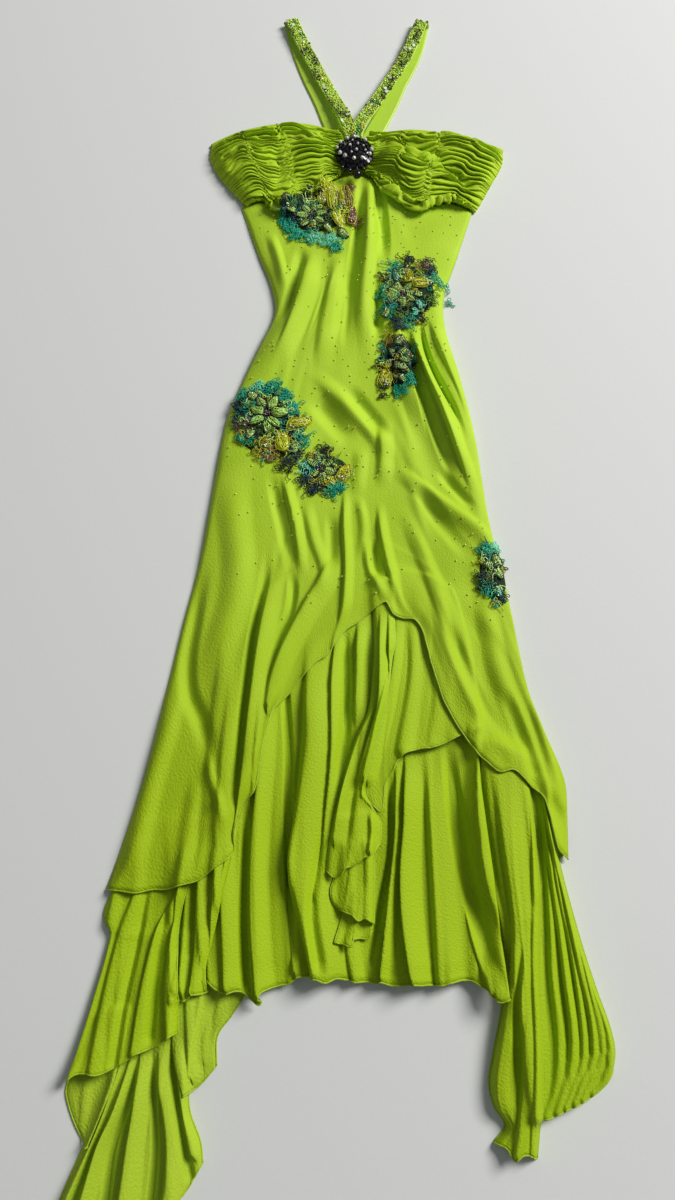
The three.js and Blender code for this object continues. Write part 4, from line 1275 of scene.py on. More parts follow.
CASCADE_UPPER = Panel(
    "cascade_upper",
    left=(17, -650, 20, -720, 17, -768, 12, -804, -2, -835, -13, -869, -21, -899, -28, -928, -33, -957, -35, -979),
    top=(17, -650, 26, -646, 40, -650),
    right=(40, -650, 43, -724, 39, -745, 33, -788, 18, -846, 7, -885, 7, -898, 14, -912, 23, -926, 24, -938, 23, -950),
    hem=(-35, -979, -28, -984, -20, -982, -12, -975, 2, -968, 13, -961, 23, -950),
    flat=(0.06, 0.34), area=0.0150, rests_on=("cascade_middle_cloth", "underskirt_cloth"), step=(0.9, 2.4),
    crown=(3, 4), shoulder=6, edges="left hem right",
    folds=(
        # two pleats of the band, its edge, then the broad lap with a hollow that runs to its point
        Fold((27, -680, 28, -755, 24, -806, 8, -855, 0, -885), (8, 8), (5, 6), 0.6, 0.4, 0.3),
        Fold((37, -680, 37, -777, 28, -823, 13, -869, 6, -890), (7, 6), (4.5, 5), 0.5, 0.4, 0.2),
        Fold((20, -780, 7, -818, -4, -848, -14, -882, -21, -915, -26, -945), (6, 7), (6, 9), 0.6, 0.3, 0.5),
        Fold((2, -880, 0, -905, -4, -935, -8, -966), (6, 4), (9, 12), 0.35, 0.1, 0.3),
        Fold((12, -915, 15, -935, 12, -958), (4, 5), (6, 7), 0.35, 0.3, 1),
    ),
    waves=(HemWave(3, 11, 18, 36, 2.4),),
)

FRONT = Panel(
    "front_overskirt",
    left=(-157, -96, -132, -174, -112, -229, -107, -270, -124, -315, -148, -376, -165, -427, -177, -511, -190, -618,
          -205, -694, -221, -778, -241, -881, -272, -998),
    top=(-157, -96, -135, -84, -101, -96, -60, -72, -24, -46, 0, -38, 30, -50, 57, -80, 84, -98, 130, -86, 164, -102),
    right=(164, -102, 138, -184, 119, -245, 119, -292, 136, -368, 151, -455, 162, -565, 182, -681, 196, -778, 211, -828,
           223, -856, 231, -885, 230, -925, 227, -965),
    hem=(-272, -998, -250, -1000, -226, -999, -194, -994, -166, -984, -150, -973, -138, -964, -132, -950, -129, -930,
         -123, -909, -115, -897, -110, -866, -104, -826, -96, -803, -82, -788, -67, -769, -54, -754, -37, -741,
         -27, -727, -16, -712, 0, -698, 16, -687, 27, -680, 34, -676, 38, -683, 42, -691, 53, -696, 66, -698, 74, -707,
         79, -724, 86, -756, 97, -793, 114, -827, 128, -848, 138, -862, 154, -873, 171, -874, 188, -890, 202, -901,
         206, -916, 210, -938, 215, -957, 221, -961, 227, -965),
    flat=(0.62, 0.98), area=0.34, rests_on=("underskirt_cloth", "middle_petal_cloth", "back_panel_cloth"),
    step=(3.5, 5.6), crown=(4, 12, 13, 10, 7.5, 5, 1.5), shoulder=44, bridge=22, blur=6, ease=200, settle=50,
    folds=(
        # the bodice, under the cups
        Fold((-69, -165, -79, -216, -85, -246, -99, -293), (-10.4, -10.4), (9, 11), -0.1, -0.2),
        Fold((-54, -168, -64, -216, -71, -250, -84, -300, -108, -356), (7, 6), (12, 15), 0.6, 0.1),
        Fold((-50, -180, -69, -258, -103, -328, -131, -384), (6.5, 5.2), (20, 26)),
        Fold((-117, -140, -101, -198, -95, -240), (5.2, 5.2), (10, 9)),
        Fold((-22, -170, -33, -258, -42, -316, -46, -380), (6.2, 4.9), (15, 16), 0.3),
        Fold((-8, -190, -14, -258, -22, -328), (-6.6, -4.9), (12, 13)),
        Fold((12, -40, 8, -90, 4, -148, -3, -198, -6, -258, -12, -316, -15, -352), (-12.3, -5.2), (9, 11), 0.2, -0.1),
        Fold((22, -38, 21, -90, 18, -173, 13, -234, 11, -293, 15, -360), (13.5, 4.5), (11, 14), 0.1, 0.2),
        Fold((32, -44, 36, -110, 38, -154, 37, -205), (-12, -8.6), (12, 12)),
        Fold((30, -224, 30, -262, 27, -322), (-9.4, -7.5), (9, 10)),
        # across the hips
        Fold((-62, -366, -34, -391, 0, -427, 34, -474, 44, -500), (6.6, 5.4), (14, 16), 0.2),
        Fold((-58, -400, -30, -432, -2, -470), (-8.4, -6), (19, 19)),
        Fold((-16, -384, 14, -424, 44, -466), (-7.2, -6.4), (14, 14)),
        Fold((33, -430, 34, -475, 30, -530), (6.6, 5.4), (12, 13), 0.3),
        Fold((6, -470, 4, -500, -1, -540), (3.2, 3.2), (12, 12)),
        # the deep folds under the waist patches, with a thin one that stands up between them
        Fold((67, -298, 69, -325, 72, -349, 80, -381, 88, -407, 98, -445, 112, -490, 128, -540), (-15, -7), (8, 10),
             0.15, -0.5),
        Fold((60, -390, 76, -440, 96, -500, 118, -556), (-5, -4), (18, 22)),
        Fold((72, -296, 77, -318, 82, -335, 89, -357, 97, -381, 107, -407, 116, -435, 130, -484, 148, -548), (22, 8),
             (5.5, 9), 0.4, 0.5),
        Fold((52, -276, 55, -318, 60, -352, 69, -388, 78, -424, 88, -470), (9, 5), (10, 11), -0.6, 0.2),
        Fold((84, -280, 87, -310, 92, -335, 101, -364, 113, -393, 125, -421, 139, -470), (-14, -5), (4.2, 5.5), 0,
             -0.4),
        Fold((97, -276, 106, -310, 114, -335, 124, -364, 134, -393, 146, -440), (7, 3), (13, 10), 0.6, 0.2),
        # over the thighs
        Fold((44, -496, 96, -542, 145, -582, 178, -614), (8.1, 5.4), (13, 14), -0.2),
        Fold((100, -498, 118, -525, 147, -562), (-6.8, -5.4), (10, 9)),
        Fold((64, -504, 84, -540, 104, -576, 142, -626), (-4.7, -4.1), (12, 13)),
        Fold((56, -556, 84, -631, 100, -674, 118, -730), (4.1, 4.1), (12, 14)),
        Fold((-108, -506, -90, -582, -76, -646), (-5.4, -4.1), (9, 10)),
        Fold((-92, -506, -74, -578, -64, -650), (8.1, 5.4), (8, 9), 0.2),
        Fold((-64, -540, -53, -594, -40, -636, -44, -676), (4.3, 4.1), (9, 10), 0.2),
        Fold((-15, -520, -14, -582, -12, -632, -16, -686, -28, -728), (6.8, 8.1), (6, 7), 0.4, -0.2, 0.4),
        Fold((-32, -560, -30, -610, -28, -640), (-4.1, -4.1), (9, 9)),
        Fold((2, -536, 8, -582, 4, -622), (4.1, 4.1), (8, 9)),
        Fold((27, -545, 30, -582, 35, -612, 47, -672), (6.1, 6.8), (7, 8), 0.4),
        Fold((22, -590, 22, -621, 26, -652), (-8.1, -6.8), (9, 9)),
        # from the thighs to the hem, from the left side
        Fold((-152, -480, -150, -560, -142, -634, -146, -680, -157, -720, -162, -760, -150, -800), (6, 7), (26, 22)),
        Fold((-182, -620, -192, -698, -197, -745, -193, -786, -179, -815, -169, -844, -164, -880), (-6, -9), (12, 14),
             0, -0.1),
        Fold((-204, -760, -216, -830, -229, -880, -248, -992), (5, 7), (13, 18), 0, 0, 1),
        Fold((-168, -850, -161, -886, -152, -908, -146, -940), (5, 5), (6, 7)),
        Fold((-178, -870, -183, -920, -188, -992), (4, 6), (12, 15), 0, 0, 1),
        Fold((-106, -600, -110, -638, -116, -682, -122, -719, -126, -765, -130, -821, -132, -866, -136, -925),
             (-7, -12), (7, 7), 0, -0.2),
        Fold((-96, -610, -102, -660, -110, -719, -115, -765, -120, -821, -123, -866, -127, -908, -132, -944), (7, 11),
             (11, 9), 0.6, 0.3, 0.9),
        Fold((-80, -632, -76, -660, -80, -690, -90, -720, -98, -750), (-7, -6), (8, 7), 0, -0.2),
        Fold((-18, -600, -36, -642, -55, -675, -72, -709, -87, -743, -97, -773, -101, -800), (7, 10), (15, 10), 0.5,
             0.2, 0.5),
        # round the opening
        Fold((12, -596, 14, -630, 27, -662, 34, -680), (5, 4), (8, 7), 0.2, 0.1, 0.6),
        Fold((40, -636, 52, -680, 66, -699), (4, 3), (7, 6), -0.2, 0.1, 0.5),
        Fold((72, -696, 77, -720, 88, -757, 105, -803, 120, -830), (3, 2), (7, 8), 0, 0, 0.3),
        # the right petal
        Fold((88, -636, 92, -665, 106, -730, 134, -800, 170, -862), (4, 3.5), (12, 12), 0, 0, 0.6),
        Fold((104, -700, 113, -732, 132, -783, 152, -832), (-6.2, -5), (12, 12)),
        Fold((150, -630, 150, -669, 160, -750, 186, -828, 206, -896), (5, 7.5), (17, 15), 0, 0, 1),
        Fold((164, -776, 180, -822, 194, -872), (-5, -7.5), (10, 10), 0, 0, 0.8),
        Fold((196, -780, 210, -840, 222, -910), (3.8, 6.2), (10, 9), 0, 0, 0.6),
    ),
    ripples=(Ripple(7, 300, (0.4, 1.6), 41), Ripple(9, 75, (1.2, 2.4), 44)), waves=(HemWave(3.5, 24, 26, 43, 2.2),),
)

PANELS = (
    BACK, TRAIN_LEFT, TRAIN_LEFT_OUTER, TRAIN_LEFT_INNER, TRAIN_RIGHT, TRAIN_RIGHT_FLAP, UNDERSKIRT, TIER_INNER,
    TIER_OUTER, MIDDLE_PETAL, CASCADE_LOWER, CASCADE_MIDDLE, CASCADE_UPPER, FRONT,
)


# --- Beads, stones and pads, modelled once each to their own radius ---


def petal_width(x: Array) -> Array:
    """The half-width of a petal at shares of its half-length, for an oval's: broad behind and drawn out to a tip."""
    return 1 - 0.34 * x**2 * np.sign(x) - 0.15 * x


class Bench:
    """Shapes small forms with Blender's own tools, and keeps them as templates."""

    def __init__(self) -> None:
        """Models every template."""
        self.bead = self.rocaille()
        self.pearl = self.drilled_ball()
        self.stone = self.table_stone()
        self.drop = self.teardrop()
        self.pad = self.petal_pad()
        self.disc = self.setting_disc()

    @staticmethod
    def select(test: Callable[[Vector], bool]) -> None:
        """Selects just some faces of the edited mesh.

        Args:
            test: what a face's middle has to pass.
        """
        mesh = bmesh.from_edit_mesh(bpy.context.edit_object.data)
        bpy.ops.mesh.select_all(action="DESELECT")
        for face in mesh.faces:
            if test(face.calc_center_median()):
                face.select_set(True)
        bmesh.update_edit_mesh(bpy.context.edit_object.data)

    @staticmethod
    def begin(primitive: Callable[..., set[str]], **sizes: float | Sequence[float]) -> None:
        """Opens a primitive for editing, on its faces, with its place in its mesh.

        Args:
            primitive: the operator that adds it.
            sizes: its settings.
        """
        bpy.ops.object.select_all(action="DESELECT")
        primitive(**sizes)
        bpy.ops.object.transform_apply(location=True, rotation=True, scale=False)
        bpy.ops.object.mode_set(mode="EDIT")
        bpy.ops.mesh.select_mode(type="FACE")

    @staticmethod
    def end(rounded: bool = True) -> Template:
        """Closes the edit and takes the form, with round or flat faces."""
        bpy.ops.object.mode_set(mode="OBJECT")
        return Template.taken(bpy.context.active_object, rounded)

    def rocaille(self) -> Template:
        """A round seed bead of radius 1, with the dimples of its hole."""
        self.begin(bpy.ops.mesh.primitive_cylinder_add, vertices=6, radius=1, depth=0.7)
        for way in (1, -1):
            self.select(lambda middle: middle.z * way > 0.34)
            bpy.ops.mesh.extrude_region_move(TRANSFORM_OT_translate={"value": (0, 0, way * 0.45)})
            bpy.ops.transform.resize(value=(0.55, 0.55, 1))
        return self.end()

    def drilled_ball(self) -> Template:
        """A ball of radius 1 with the dimples of its hole."""
        self.begin(bpy.ops.mesh.primitive_uv_sphere_add, segments=14, ring_count=9, radius=1)
        for way in (1, -1):
            self.select(lambda middle: middle.z * way > 0.93)
            bpy.ops.mesh.inset(thickness=0.08)
            bpy.ops.transform.translate(value=(0, 0, -way * 0.16))
        return self.end()

    def table_stone(self) -> Template:
        """A table-cut stone of radius 1: eight upright sides between two flats."""
        self.begin(bpy.ops.mesh.primitive_cylinder_add, vertices=8, radius=1, depth=0.5)
        return self.end(rounded=False)

    def teardrop(self) -> Template:
        """A drop with its point at the origin and its round end at y -2."""
        self.begin(bpy.ops.mesh.primitive_uv_sphere_add, segments=10, ring_count=8, radius=0.62,
                   location=(0, -1.38, 0), rotation=(math.pi / 2, 0, 0))
        for above, narrow, waist, stretch in ((-1.1, 0.55, -1.1, 0.35), (-0.75, 0.4, -0.7, 0.5)):
            self.select(lambda middle: middle.y > above)
            bpy.ops.transform.resize(value=(narrow, 1.0, narrow), center_override=(0, waist, 0))
            bpy.ops.transform.translate(value=(0, stretch, 0))
        return self.end()

    def petal_pad(self) -> Template:
        """A flat pad in the outline of a petal, from x -1 to 1."""
        self.begin(bpy.ops.mesh.primitive_cylinder_add, vertices=18, radius=1, depth=0.3)
        template = self.end()
        template.points[:, 1] *= petal_width(template.points[:, 0])
        return template

    def setting_disc(self) -> Template:
        """The brooch's setting, of radius 1: a thin round disc, all but hidden by its stones."""
        self.begin(bpy.ops.mesh.primitive_cylinder_add, vertices=48, radius=1, depth=0.1)
        return self.end()


# --- Cups ---


@dataclass(frozen=True)
class Cup:
    """A moulded cup under ruched chiffon, whose pleats run from the side to the brooch.

    swells are broad hills and hollows of its form, and breaks are where the pleats step up or down: the share of
    the way to the brooch, and how many pleats. sign is 1 where the brooch is on its right, and -1 on its left. wall
    is the thickness of the cup, lip and dome how far it stands out at its top edge and in its middle, and binding
    the share of its length that is bound at the top.
    """

    name: str
    sign: int
    left: Curve
    top: Curve
    right: Curve
    hem: Curve
    swells: tuple[Fold, ...]
    breaks: tuple[Point, ...]
    seed: int
    pleats: float = 15.0
    pleat: float = 10.4
    wall: float = 2.0
    lip: float = 6.0
    dome: float = 15.0
    binding: float = 0.05
    rows: int = 180
    columns: int = 76

    def build(self, shop: Workshop) -> None:
        """Makes the cup.

        Args:
            shop: where it is made.
        """
        edges = [Line(edge) for edge in (self.left, self.top, self.right, self.hem)]
        plan, u, v = between(edges, self.columns, self.rows)
        x, y = plan[..., 0], plan[..., 1]
        base = cleared(shop.pile.read(shop.pile.support(bridge=40, blur=8, fall=1.0), x, y))
        inner = u if self.sign > 0 else 1 - u
        surface = np.stack([x, y, base + self.form(x, y, inner, v) + self.wall], axis=-1)
        normal = normals(surface)
        height, drag = self.ruching(inner, v)
        upper = surface + normal * height[..., None] + unit(np.gradient(surface, axis=0)) * drag[..., None]
        lower = surface - normal * self.wall
        lower[..., 2] = np.maximum(lower[..., 2], 0)
        upper[..., 2] = np.maximum(upper[..., 2], lower[..., 2] + 0.5)
        shape = Shape()
        shape.add_shell(upper, lower, cloth_coords(surface))
        shop.pile.lay(upper)
        thing = shop.piece(f"{self.name}_cloth", shape, [RUCHED.name], (self.name,))

    def form(self, x: Array, y: Array, inner: Array, v: Array) -> Array:
        """The moulded form under the pleats.

        Args:
            x, y: places in the plan.
            inner: shares across, 1 at the brooch.
            v: shares down.

        Returns:
            How high it stands.
        """
        round_down = (4 * v * (1 - v)) ** 0.55
        form = self.lip * np.sin(math.pi * inner) * (1 - v) ** 2
        form = form + self.dome * np.sin(math.pi * inner**0.8) ** 0.6 * round_down
        for swell in self.swells:
            form = form + swell.lift(x, y)[0] * smooth(np.minimum(v, 1 - v) / 0.1)
        return np.maximum(form, 0) * shoulder(inner / 0.05)

    def ruching(self, inner: Array, v: Array) -> tuple[Array, Array]:
        """The pleats: the main ones, finer ones that they merge with, and the bound edge above them.

        Args:
            inner: shares across, 1 at the brooch.
            v: shares down.

        Returns:
            How high they stand, and how far they are dragged down over their lower side.
        """
        sway = 0.045 * Noise(self.seed).at(inner * 5.2, v * 4.2) + 0.016 * Noise(self.seed + 1).at(inner * 14, v * 12)
        for place, shift in self.breaks:
            edge = inner - place - 0.03 * Noise(self.seed + 5).at(v * 7, 0.5 + 0 * v)
            sway = sway + shift / self.pleats * np.tanh(edge / 0.022) * np.exp(-((edge / 0.20) ** 2))
        phase = self.pleats * (v + sway * smooth(np.minimum(v, 1 - v) / 0.10))
        fine = 1.7 * phase + 0.9 * Noise(self.seed + 2).at(inner * 7, v * 9)
        size = 0.85 + 0.5 * Noise(self.seed + 3).at(inner * 6.5 + 7, v * self.pleats * 0.8)
        merge = smooth(0.45 + 1.8 * Noise(self.seed + 4).at(inner * 6, v * 7))
        share = smooth((v - self.binding) / 0.03) * smooth((1 - v) / 0.015)
        tight = (0.65 + 0.35 * np.sin(math.pi * np.clip(inner, 0, 1)) ** 0.5) * mix(0.25, 1, smooth(inner / 0.09))
        pleats = mix(self.pleat_back(phase), 0.62 * self.pleat_back(fine) + 0.15, 0.8 * merge)
        height = self.pleat * size * pleats * tight
        hem = 1.5 * arch((v - self.binding / 2) / (self.binding / 2))
        return height * share + hem, 0.6 * height * share

    @staticmethod
    def pleat_back(turns: Array) -> Array:
        """A round back, once a turn, that falls off steeply on its lower side to a narrow gap."""
        part = turns - np.floor(turns)
        return np.sin(math.pi * part**1.7) ** 0.6


CUPS = (
    Cup(
        "cup_left", 1,
        left=(-204, 17, -205, -8, -190, -42, -170, -70, -150, -96),
        top=(-204, 17, -162, 34, -105, 46, -62, 47, -22, 33),
        right=(-22, 33, -14, 6, -14, -26, -24, -50),
        hem=(-150, -96, -138, -90, -124, -87, -101, -104, -66, -80, -24, -50),
        swells=(
            Fold((-98, 10, -110, -20, -104, -50, -112, -80), (-3, -4), (12, 11), 0.2, 0, 0.4),
            Fold((-78, 26, -60, -10, -60, -40), (5, 7), (32, 30), 0, 0, 0.6),
            Fold((-160, 8, -150, -30, -136, -70), (4, 5), (30, 28), 0, 0, 0.6),
            Fold((-92, 14, -74, 6, -44, 12), (-4, -2), (8, 8)),
        ),
        breaks=((0.53, 1.1), (0.26, -0.6), (0.80, 0.45)), seed=51,
    ),
    Cup(
        "cup_right", -1,
        left=(26, 33, 15, 6, 15, -26, 28, -56),
        top=(26, 33, 80, 37, 137, 27, 179, 17, 213, 7),
        right=(213, 7, 208, -24, 190, -60, 168, -104),
        hem=(28, -56, 54, -86, 81, -106, 104, -98, 134, -92, 168, -104),
        swells=(
            Fold((48, 14, 84, -4, 116, -26, 134, -50), (-6, -10), (12, 15), 0.3, 0, 0.3),
            Fold((34, -10, 62, -34, 92, -62), (7, 8), (28, 26), 0, 0, 0.5),
            Fold((120, 14, 160, 0, 190, -20), (5, 4), (24, 22), 0, 0, 0.5),
            Fold((128, -50, 150, -62, 168, -80), (-5, -3), (10, 10)),
        ),
        breaks=((0.46, -0.6), (0.70, 0.5), (0.20, 0.4)), seed=61,
    ),
)


# --- Straps ---


@dataclass(frozen=True)
class Strap:
    """A halter strap: a plain band up from the back panel, folded over, and its beaded stretch down to the brooch.

    back and front are its middle lines below and above the fold, wide and back_wide its widths at the fold and at
    the back panel, bead the radius of its seed beads, and end how far its beaded end is raised over the pad beneath
    the brooch. length, the whole band's in metres, is not used.
    """

    name: str
    back: Curve
    front: Curve
    seed: int
    wide: float = 17.0
    back_wide: float = 27.0
    thick: float = 2.0
    fold_radius: float = 3.6
    bead: float = 1.25
    end: float = 7.0
    length: float = 0.47

    STEPS = 60  # points along each stretch
    ACROSS = 13  # points across the band
    LANES = 8  # rows of seed beads
    BARE = 0.10  # share of the places that have lost their bead
    TONES = (-0.50, -0.14, 0.52, 0.70)  # values of the noise at which one colour of bead gives way to the next
    STONES = ((5, 14, 2.3), (6, 10, 2.0), (3, 14, 1.9))  # which finish, how many and of what radius
    SMOKE = 6  # the finish of the stones that sit at the edges

    def route(self, pile: Pile) -> tuple[Array, Array, Array]:
        """The band's middle line, its half-widths and where its beaded stretch begins.

        Args:
            pile: what its back stretch lies on.

        Returns:
            Points, half-widths and the share of the front, 0 on the back stretch.
        """
        share = np.linspace(0, 1, self.STEPS)
        up, down = Line(self.back).at(share), Line(self.front).at(share)
        low = cleared(pile.read(pile.support(bridge=20, blur=4, fall=1.0), up[:, 0], up[:, 1]))
        run = unit(down[0] - down[4])
        angle = np.linspace(0, math.pi, 12)[1:-1]
        bend = up[-1] + np.outer(self.fold_radius * np.sin(angle), run)
        bend_z = self.fold_radius * (1 - np.cos(angle))
        top = mix(2 * self.fold_radius, self.thick + 2.2, smooth(share * 2.5))
        top = top + 3.0 * np.sin(math.pi * share) + self.end * smooth((share - 0.55) / 0.45)
        plan, heights = [up, bend, down], [low, bend_z + low[-1], top + low[-1]]
        points = np.column_stack([np.concatenate(plan), np.concatenate(heights)])
        front = np.full(len(angle) + self.STEPS, self.wide)
        widths = np.concatenate([mix(self.back_wide, self.wide, share), front]) / 2
        beaded = np.concatenate([np.zeros(self.STEPS - 3), np.linspace(0, 1, len(angle) + 3), np.ones(self.STEPS)])
        return points + [0, 0, self.thick / 2], widths, beaded

    def build(self, shop: Workshop) -> None:
        """Makes the band with its piped edges and the crust of beads on its front.

        Args:
            shop: where it is made.
        """
        points, widths, beaded = self.route(shop.pile)
        along = unit(np.gradient(points, axis=0))
        flat_run = unit(np.array([*(np.array(self.front[:2]) - self.front[-2:]), 0.0]))
        side = np.tile(np.cross(flat_run, [0.0, 0.0, 1.0]), (len(points), 1))
        out = unit(np.cross(along, side))
        across = np.linspace(-1, 1, self.ACROSS)
        sway = 0.35 * Noise(self.seed).at(np.arange(len(points))[:, None] / 9, across[None] * 1.5)
        middle = points[:, None] + side[:, None] * (across[None, :, None] * widths[:, None, None])
        crown = 0.9 * arch(across)
        upper = middle + out[:, None] * (self.thick / 2 * 0.6 + crown[None, :, None] + sway[..., None])
        lower = middle - out[:, None] * (self.thick / 2)
        shape = Shape()
        shape.add_shell(upper, lower, cloth_coords(middle))
        for edge in (0, -1):
            shape.add_tube(middle[:, edge] + out * 0.5, 1.2, 7, finish=1)
        shop.pile.lay(upper)
        shop.pile.lay(lower)
        cloth = shop.piece(f"{self.name}_cloth", shape, [SATIN.name, HEM.name], (self.name,))
        crust = self.crust(upper, out, int(np.argmax(beaded > 0.3)), shop.bench)
        beads = shop.piece(f"{self.name}_beads", crust, STRAP_BEADS)

    def crust(self, upper: Array, out: Array, first: int, bench: Bench) -> Shape:
        """The seed beads on the band, in loose patches of colour, and the larger stones among them.

        Args:
            upper, out: the band's upper surface and which way it faces, at each point along it.
            first: the point at which the beads begin.
            bench: the forms of a bead and a stone.

        Returns:
            The beads, with a finish for each name in STRAP_BEADS.
        """
        chance, patches = np.random.default_rng(self.seed), Noise(self.seed + 1)
        shape = Shape()
        kinds: list[list[Array]] = [[] for _ in STRAP_BEADS]
        columns = upper.shape[1]
        reach = np.linalg.norm(np.diff(upper[:, columns // 2], axis=0), axis=1)
        place = np.concatenate([[0], np.cumsum(reach)])
        for at in np.arange(place[first], place[-1] - 2, 2 * self.bead * 0.86):
            for lane in np.linspace(0.04, 0.96, self.LANES):
                if chance.random() < self.BARE:
                    continue
                where = np.interp(at + chance.normal(0, 0.7), place, np.arange(len(place)))
                where = np.clip(where, 0, len(place) - 1.01)
                across = np.clip(lane + chance.normal(0, 0.03), 0.0, 1.0) * (columns - 1)
                i, j = int(where), min(int(across), columns - 2)
                near, far = (mix(upper[i, k], upper[i + 1, k], where - i) for k in (j, j + 1))
                tone = patches.at(np.array(at / 14), np.array(lane * 1.6)) + chance.normal(0, 0.28)
                size = self.bead * chance.uniform(0.8, 1.15)
                centre = mix(near, far, across - j) + out[i] * size * 0.55
                if centre[2] > size:
                    kinds[int(np.searchsorted(self.TONES, tone))].append(tumbled(centre, size, chance))
        for kind in range(len(self.TONES) + 1):
            shape.add_copies(bench.bead, kinds[kind], kind)
        for kind, count, size in self.STONES:
            spots = []
            for _ in range(count):
                i = int(chance.integers(first, len(upper)))
                j = int(chance.choice([0, columns - 1])) if kind == self.SMOKE else int(chance.integers(1, columns - 1))
                centre = upper[i, j] + out[i] * 1.6
                if centre[2] > size:
                    spots.append(tumbled(centre, size * chance.uniform(0.8, 1.15), chance, 0.4))
            shape.add_copies(bench.stone, spots, kind)
        return shape


STRAPS = (
    Strap(
        "strap_left",
        back=(-14, 6, -29, 46, -47, 98, -61, 132, -74, 168, -86, 208, -93, 242),
        front=(-92, 247, -84, 222, -68, 182, -50, 141, -38, 113, -25, 84, -10, 46, -3, 14),
        seed=66, end=10.0,
    ),
    Strap(
        "strap_right",
        back=(16, 6, 31, 44, 51, 88, 67, 130, 80, 158, 94, 196, 104, 239),
        front=(103, 244, 87, 199, 73, 165, 55, 131, 36, 95, 22, 66, 8, 38, 2, 14),
        seed=68, end=12.0,
    ),
)


# --- Brooch ---


@dataclass(frozen=True)
class Brooch:
    """A round brooch: a black setting crusted with jet stones and small pearls, and drops below.

    stone is the radius of a stone, and seat how high the setting lies in its CAD solid. A pearl is its heading in
    degrees, its share of the radius and its own radius. A drop is its place across and below the middle, its size
    and how far it swings aside.
    """

    radius: float = 27.0
    middle: Point = (0.0, -14.0)
    height: float = 11.0
    stone: float = 2.5
    seat: float = 2.0
    pearls: tuple[tuple[float, float, float], ...] = (
        (116, 0.84, 2.9), (89, 0.88, 2.8), (49, 0.87, 3.0), (3, 0.90, 3.1), (-19, 0.84, 3.0), (-55, 0.70, 2.9),
        (-92, 0.62, 3.0), (-138, 0.66, 3.1), (-163, 0.78, 3.1), (168, 0.92, 2.4), (144, 0.90, 2.6), (138, 0.30, 2.2),
        (-48, 0.16, 2.3), (58, 0.34, 1.9), (20, 0.5, 1.6), (100, 0.55, 1.6), (-120, 0.3, 1.6), (-10, 0.58, 1.7),
    )
    drops: tuple[tuple[float, float, float, float], ...] = (
        (3, 27, 10, 0.05), (-5, 26, 6, -0.25), (-14, 22, 5.5, -0.5), (10, 25, 5, 0.35),
    )

    RINGS = 6  # of stones
    SUNK = 2.2  # how far a stone sits in the crust
    PROUD = 0.6  # how far a pearl's middle stands above it
    HUNG = 5.0  # how high the drops hang over the setting

    def surface(self, share: float) -> float:
        """The height of the crust of stones at a share of its radius."""
        return self.height * (0.30 + 0.70 * arch(share))

    def build(self, shop: Workshop) -> None:
        """Makes the brooch on the place of its CAD solid.

        Args:
            shop: where it is made.
        """
        bench = shop.bench
        chance = np.random.default_rng(71)
        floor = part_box("brooch")[0][2] / MM + self.seat
        x0, y0 = self.middle
        shape = Shape()
        shape.add_copies(bench.disc, [placed([x0, y0, floor], [self.radius] * 3, (1, 0, 0), UP)], 0)
        stones = []
        for ring in range(self.RINGS):
            share = ring / (self.RINGS - 0.6)
            count = max(1, int(FULL_TURN * share * self.radius / (2.0 * self.stone)))
            for k in range(count):
                turn = FULL_TURN * (k + 0.5 * (ring % 2)) / count + chance.normal(0, 0.05)
                up = np.array([math.cos(turn) * share * 0.9, math.sin(turn) * share * 0.9, 1.0])
                up[:2] += chance.normal(0, 0.12, 2)
                centre = [*stepped(x0, y0, turn, share * self.radius), floor + self.surface(share) - self.SUNK]
                size = self.stone * chance.uniform(0.85, 1.12)
                stones.append(placed(centre, [size, size, size * 1.25], [1.0, chance.normal(), 0], up))
        shape.add_copies(bench.stone, stones, 1)
        pearls = []
        for degrees, share, size in self.pearls:
            place = stepped(x0, y0, math.radians(degrees), share * self.radius)
            pearls.append(tumbled([*place, floor + self.surface(share) + self.PROUD], size * 0.92, chance, 0.5))
        shape.add_copies(bench.pearl, pearls, 2)
        for x, y, size, lean in self.drops:
            shape.add_copies(bench.drop, [placed([x, y0 - y, floor + self.HUNG], [size] * 3, (1, lean, 0), UP)], 1)
        shop.piece("brooch_jewel", shape, ["black setting", "jet", "pearl"], ("brooch",))


# --- Embroidered patches ---


class Thread(Enum):
    """The yarns and fillings of the embroidery, by the name of their finish."""

    FELT = "felt"
    PETAL = "petal silk"
    # pale stitches, partly painted highlight on the petals
    STITCH_AND_HIGHLIGHT = "pale green silk"
    OUTLINE = "black green cord"
    GOLD = "old gold silk"
    YELLOW = "yellow silk"
    TEAL = "teal yarn"
    SKY = "light teal yarn"
    NAVY = "navy yarn"
    COPPER = "copper thread"
    MOSS = "moss yarn"
    GARNET = "garnet bead"
    CRYSTAL = "clear glass"

    @property
    def place(self) -> int:
        """Its place among the finishes of a patch."""
        return list(Thread).index(self)


LONG_LEAF = 20.0  # the length from which a leaf is worked in long stitches down it
GROUND = {Thread.OUTLINE: 0.24, Thread.TEAL: 0.18, Thread.MOSS: 0.26, Thread.STITCH_AND_HIGHLIGHT: 0.13, Thread.GOLD: 0.19}


@dataclass(frozen=True)
class Leaf:
    """One padded petal or leaf: its middle, its heading in degrees, its length and width, and its silks."""

    x: float
    y: float
    heading: float
    long: float
    wide: float
    pad: Thread = Thread.PETAL
    stitch: Thread = Thread.STITCH_AND_HIGHLIGHT


@dataclass(frozen=True)
class Flower:
    """A ring of petals about a cluster of dark beads: its middle, and the count, place, size and turn of them."""

    x: float
    y: float
    petals: int = 7
    reach: float = 15.0
    long: float = 19.0
    wide: float = 10.0
    turn: float = 0.0
    centre: Thread = Thread.GARNET


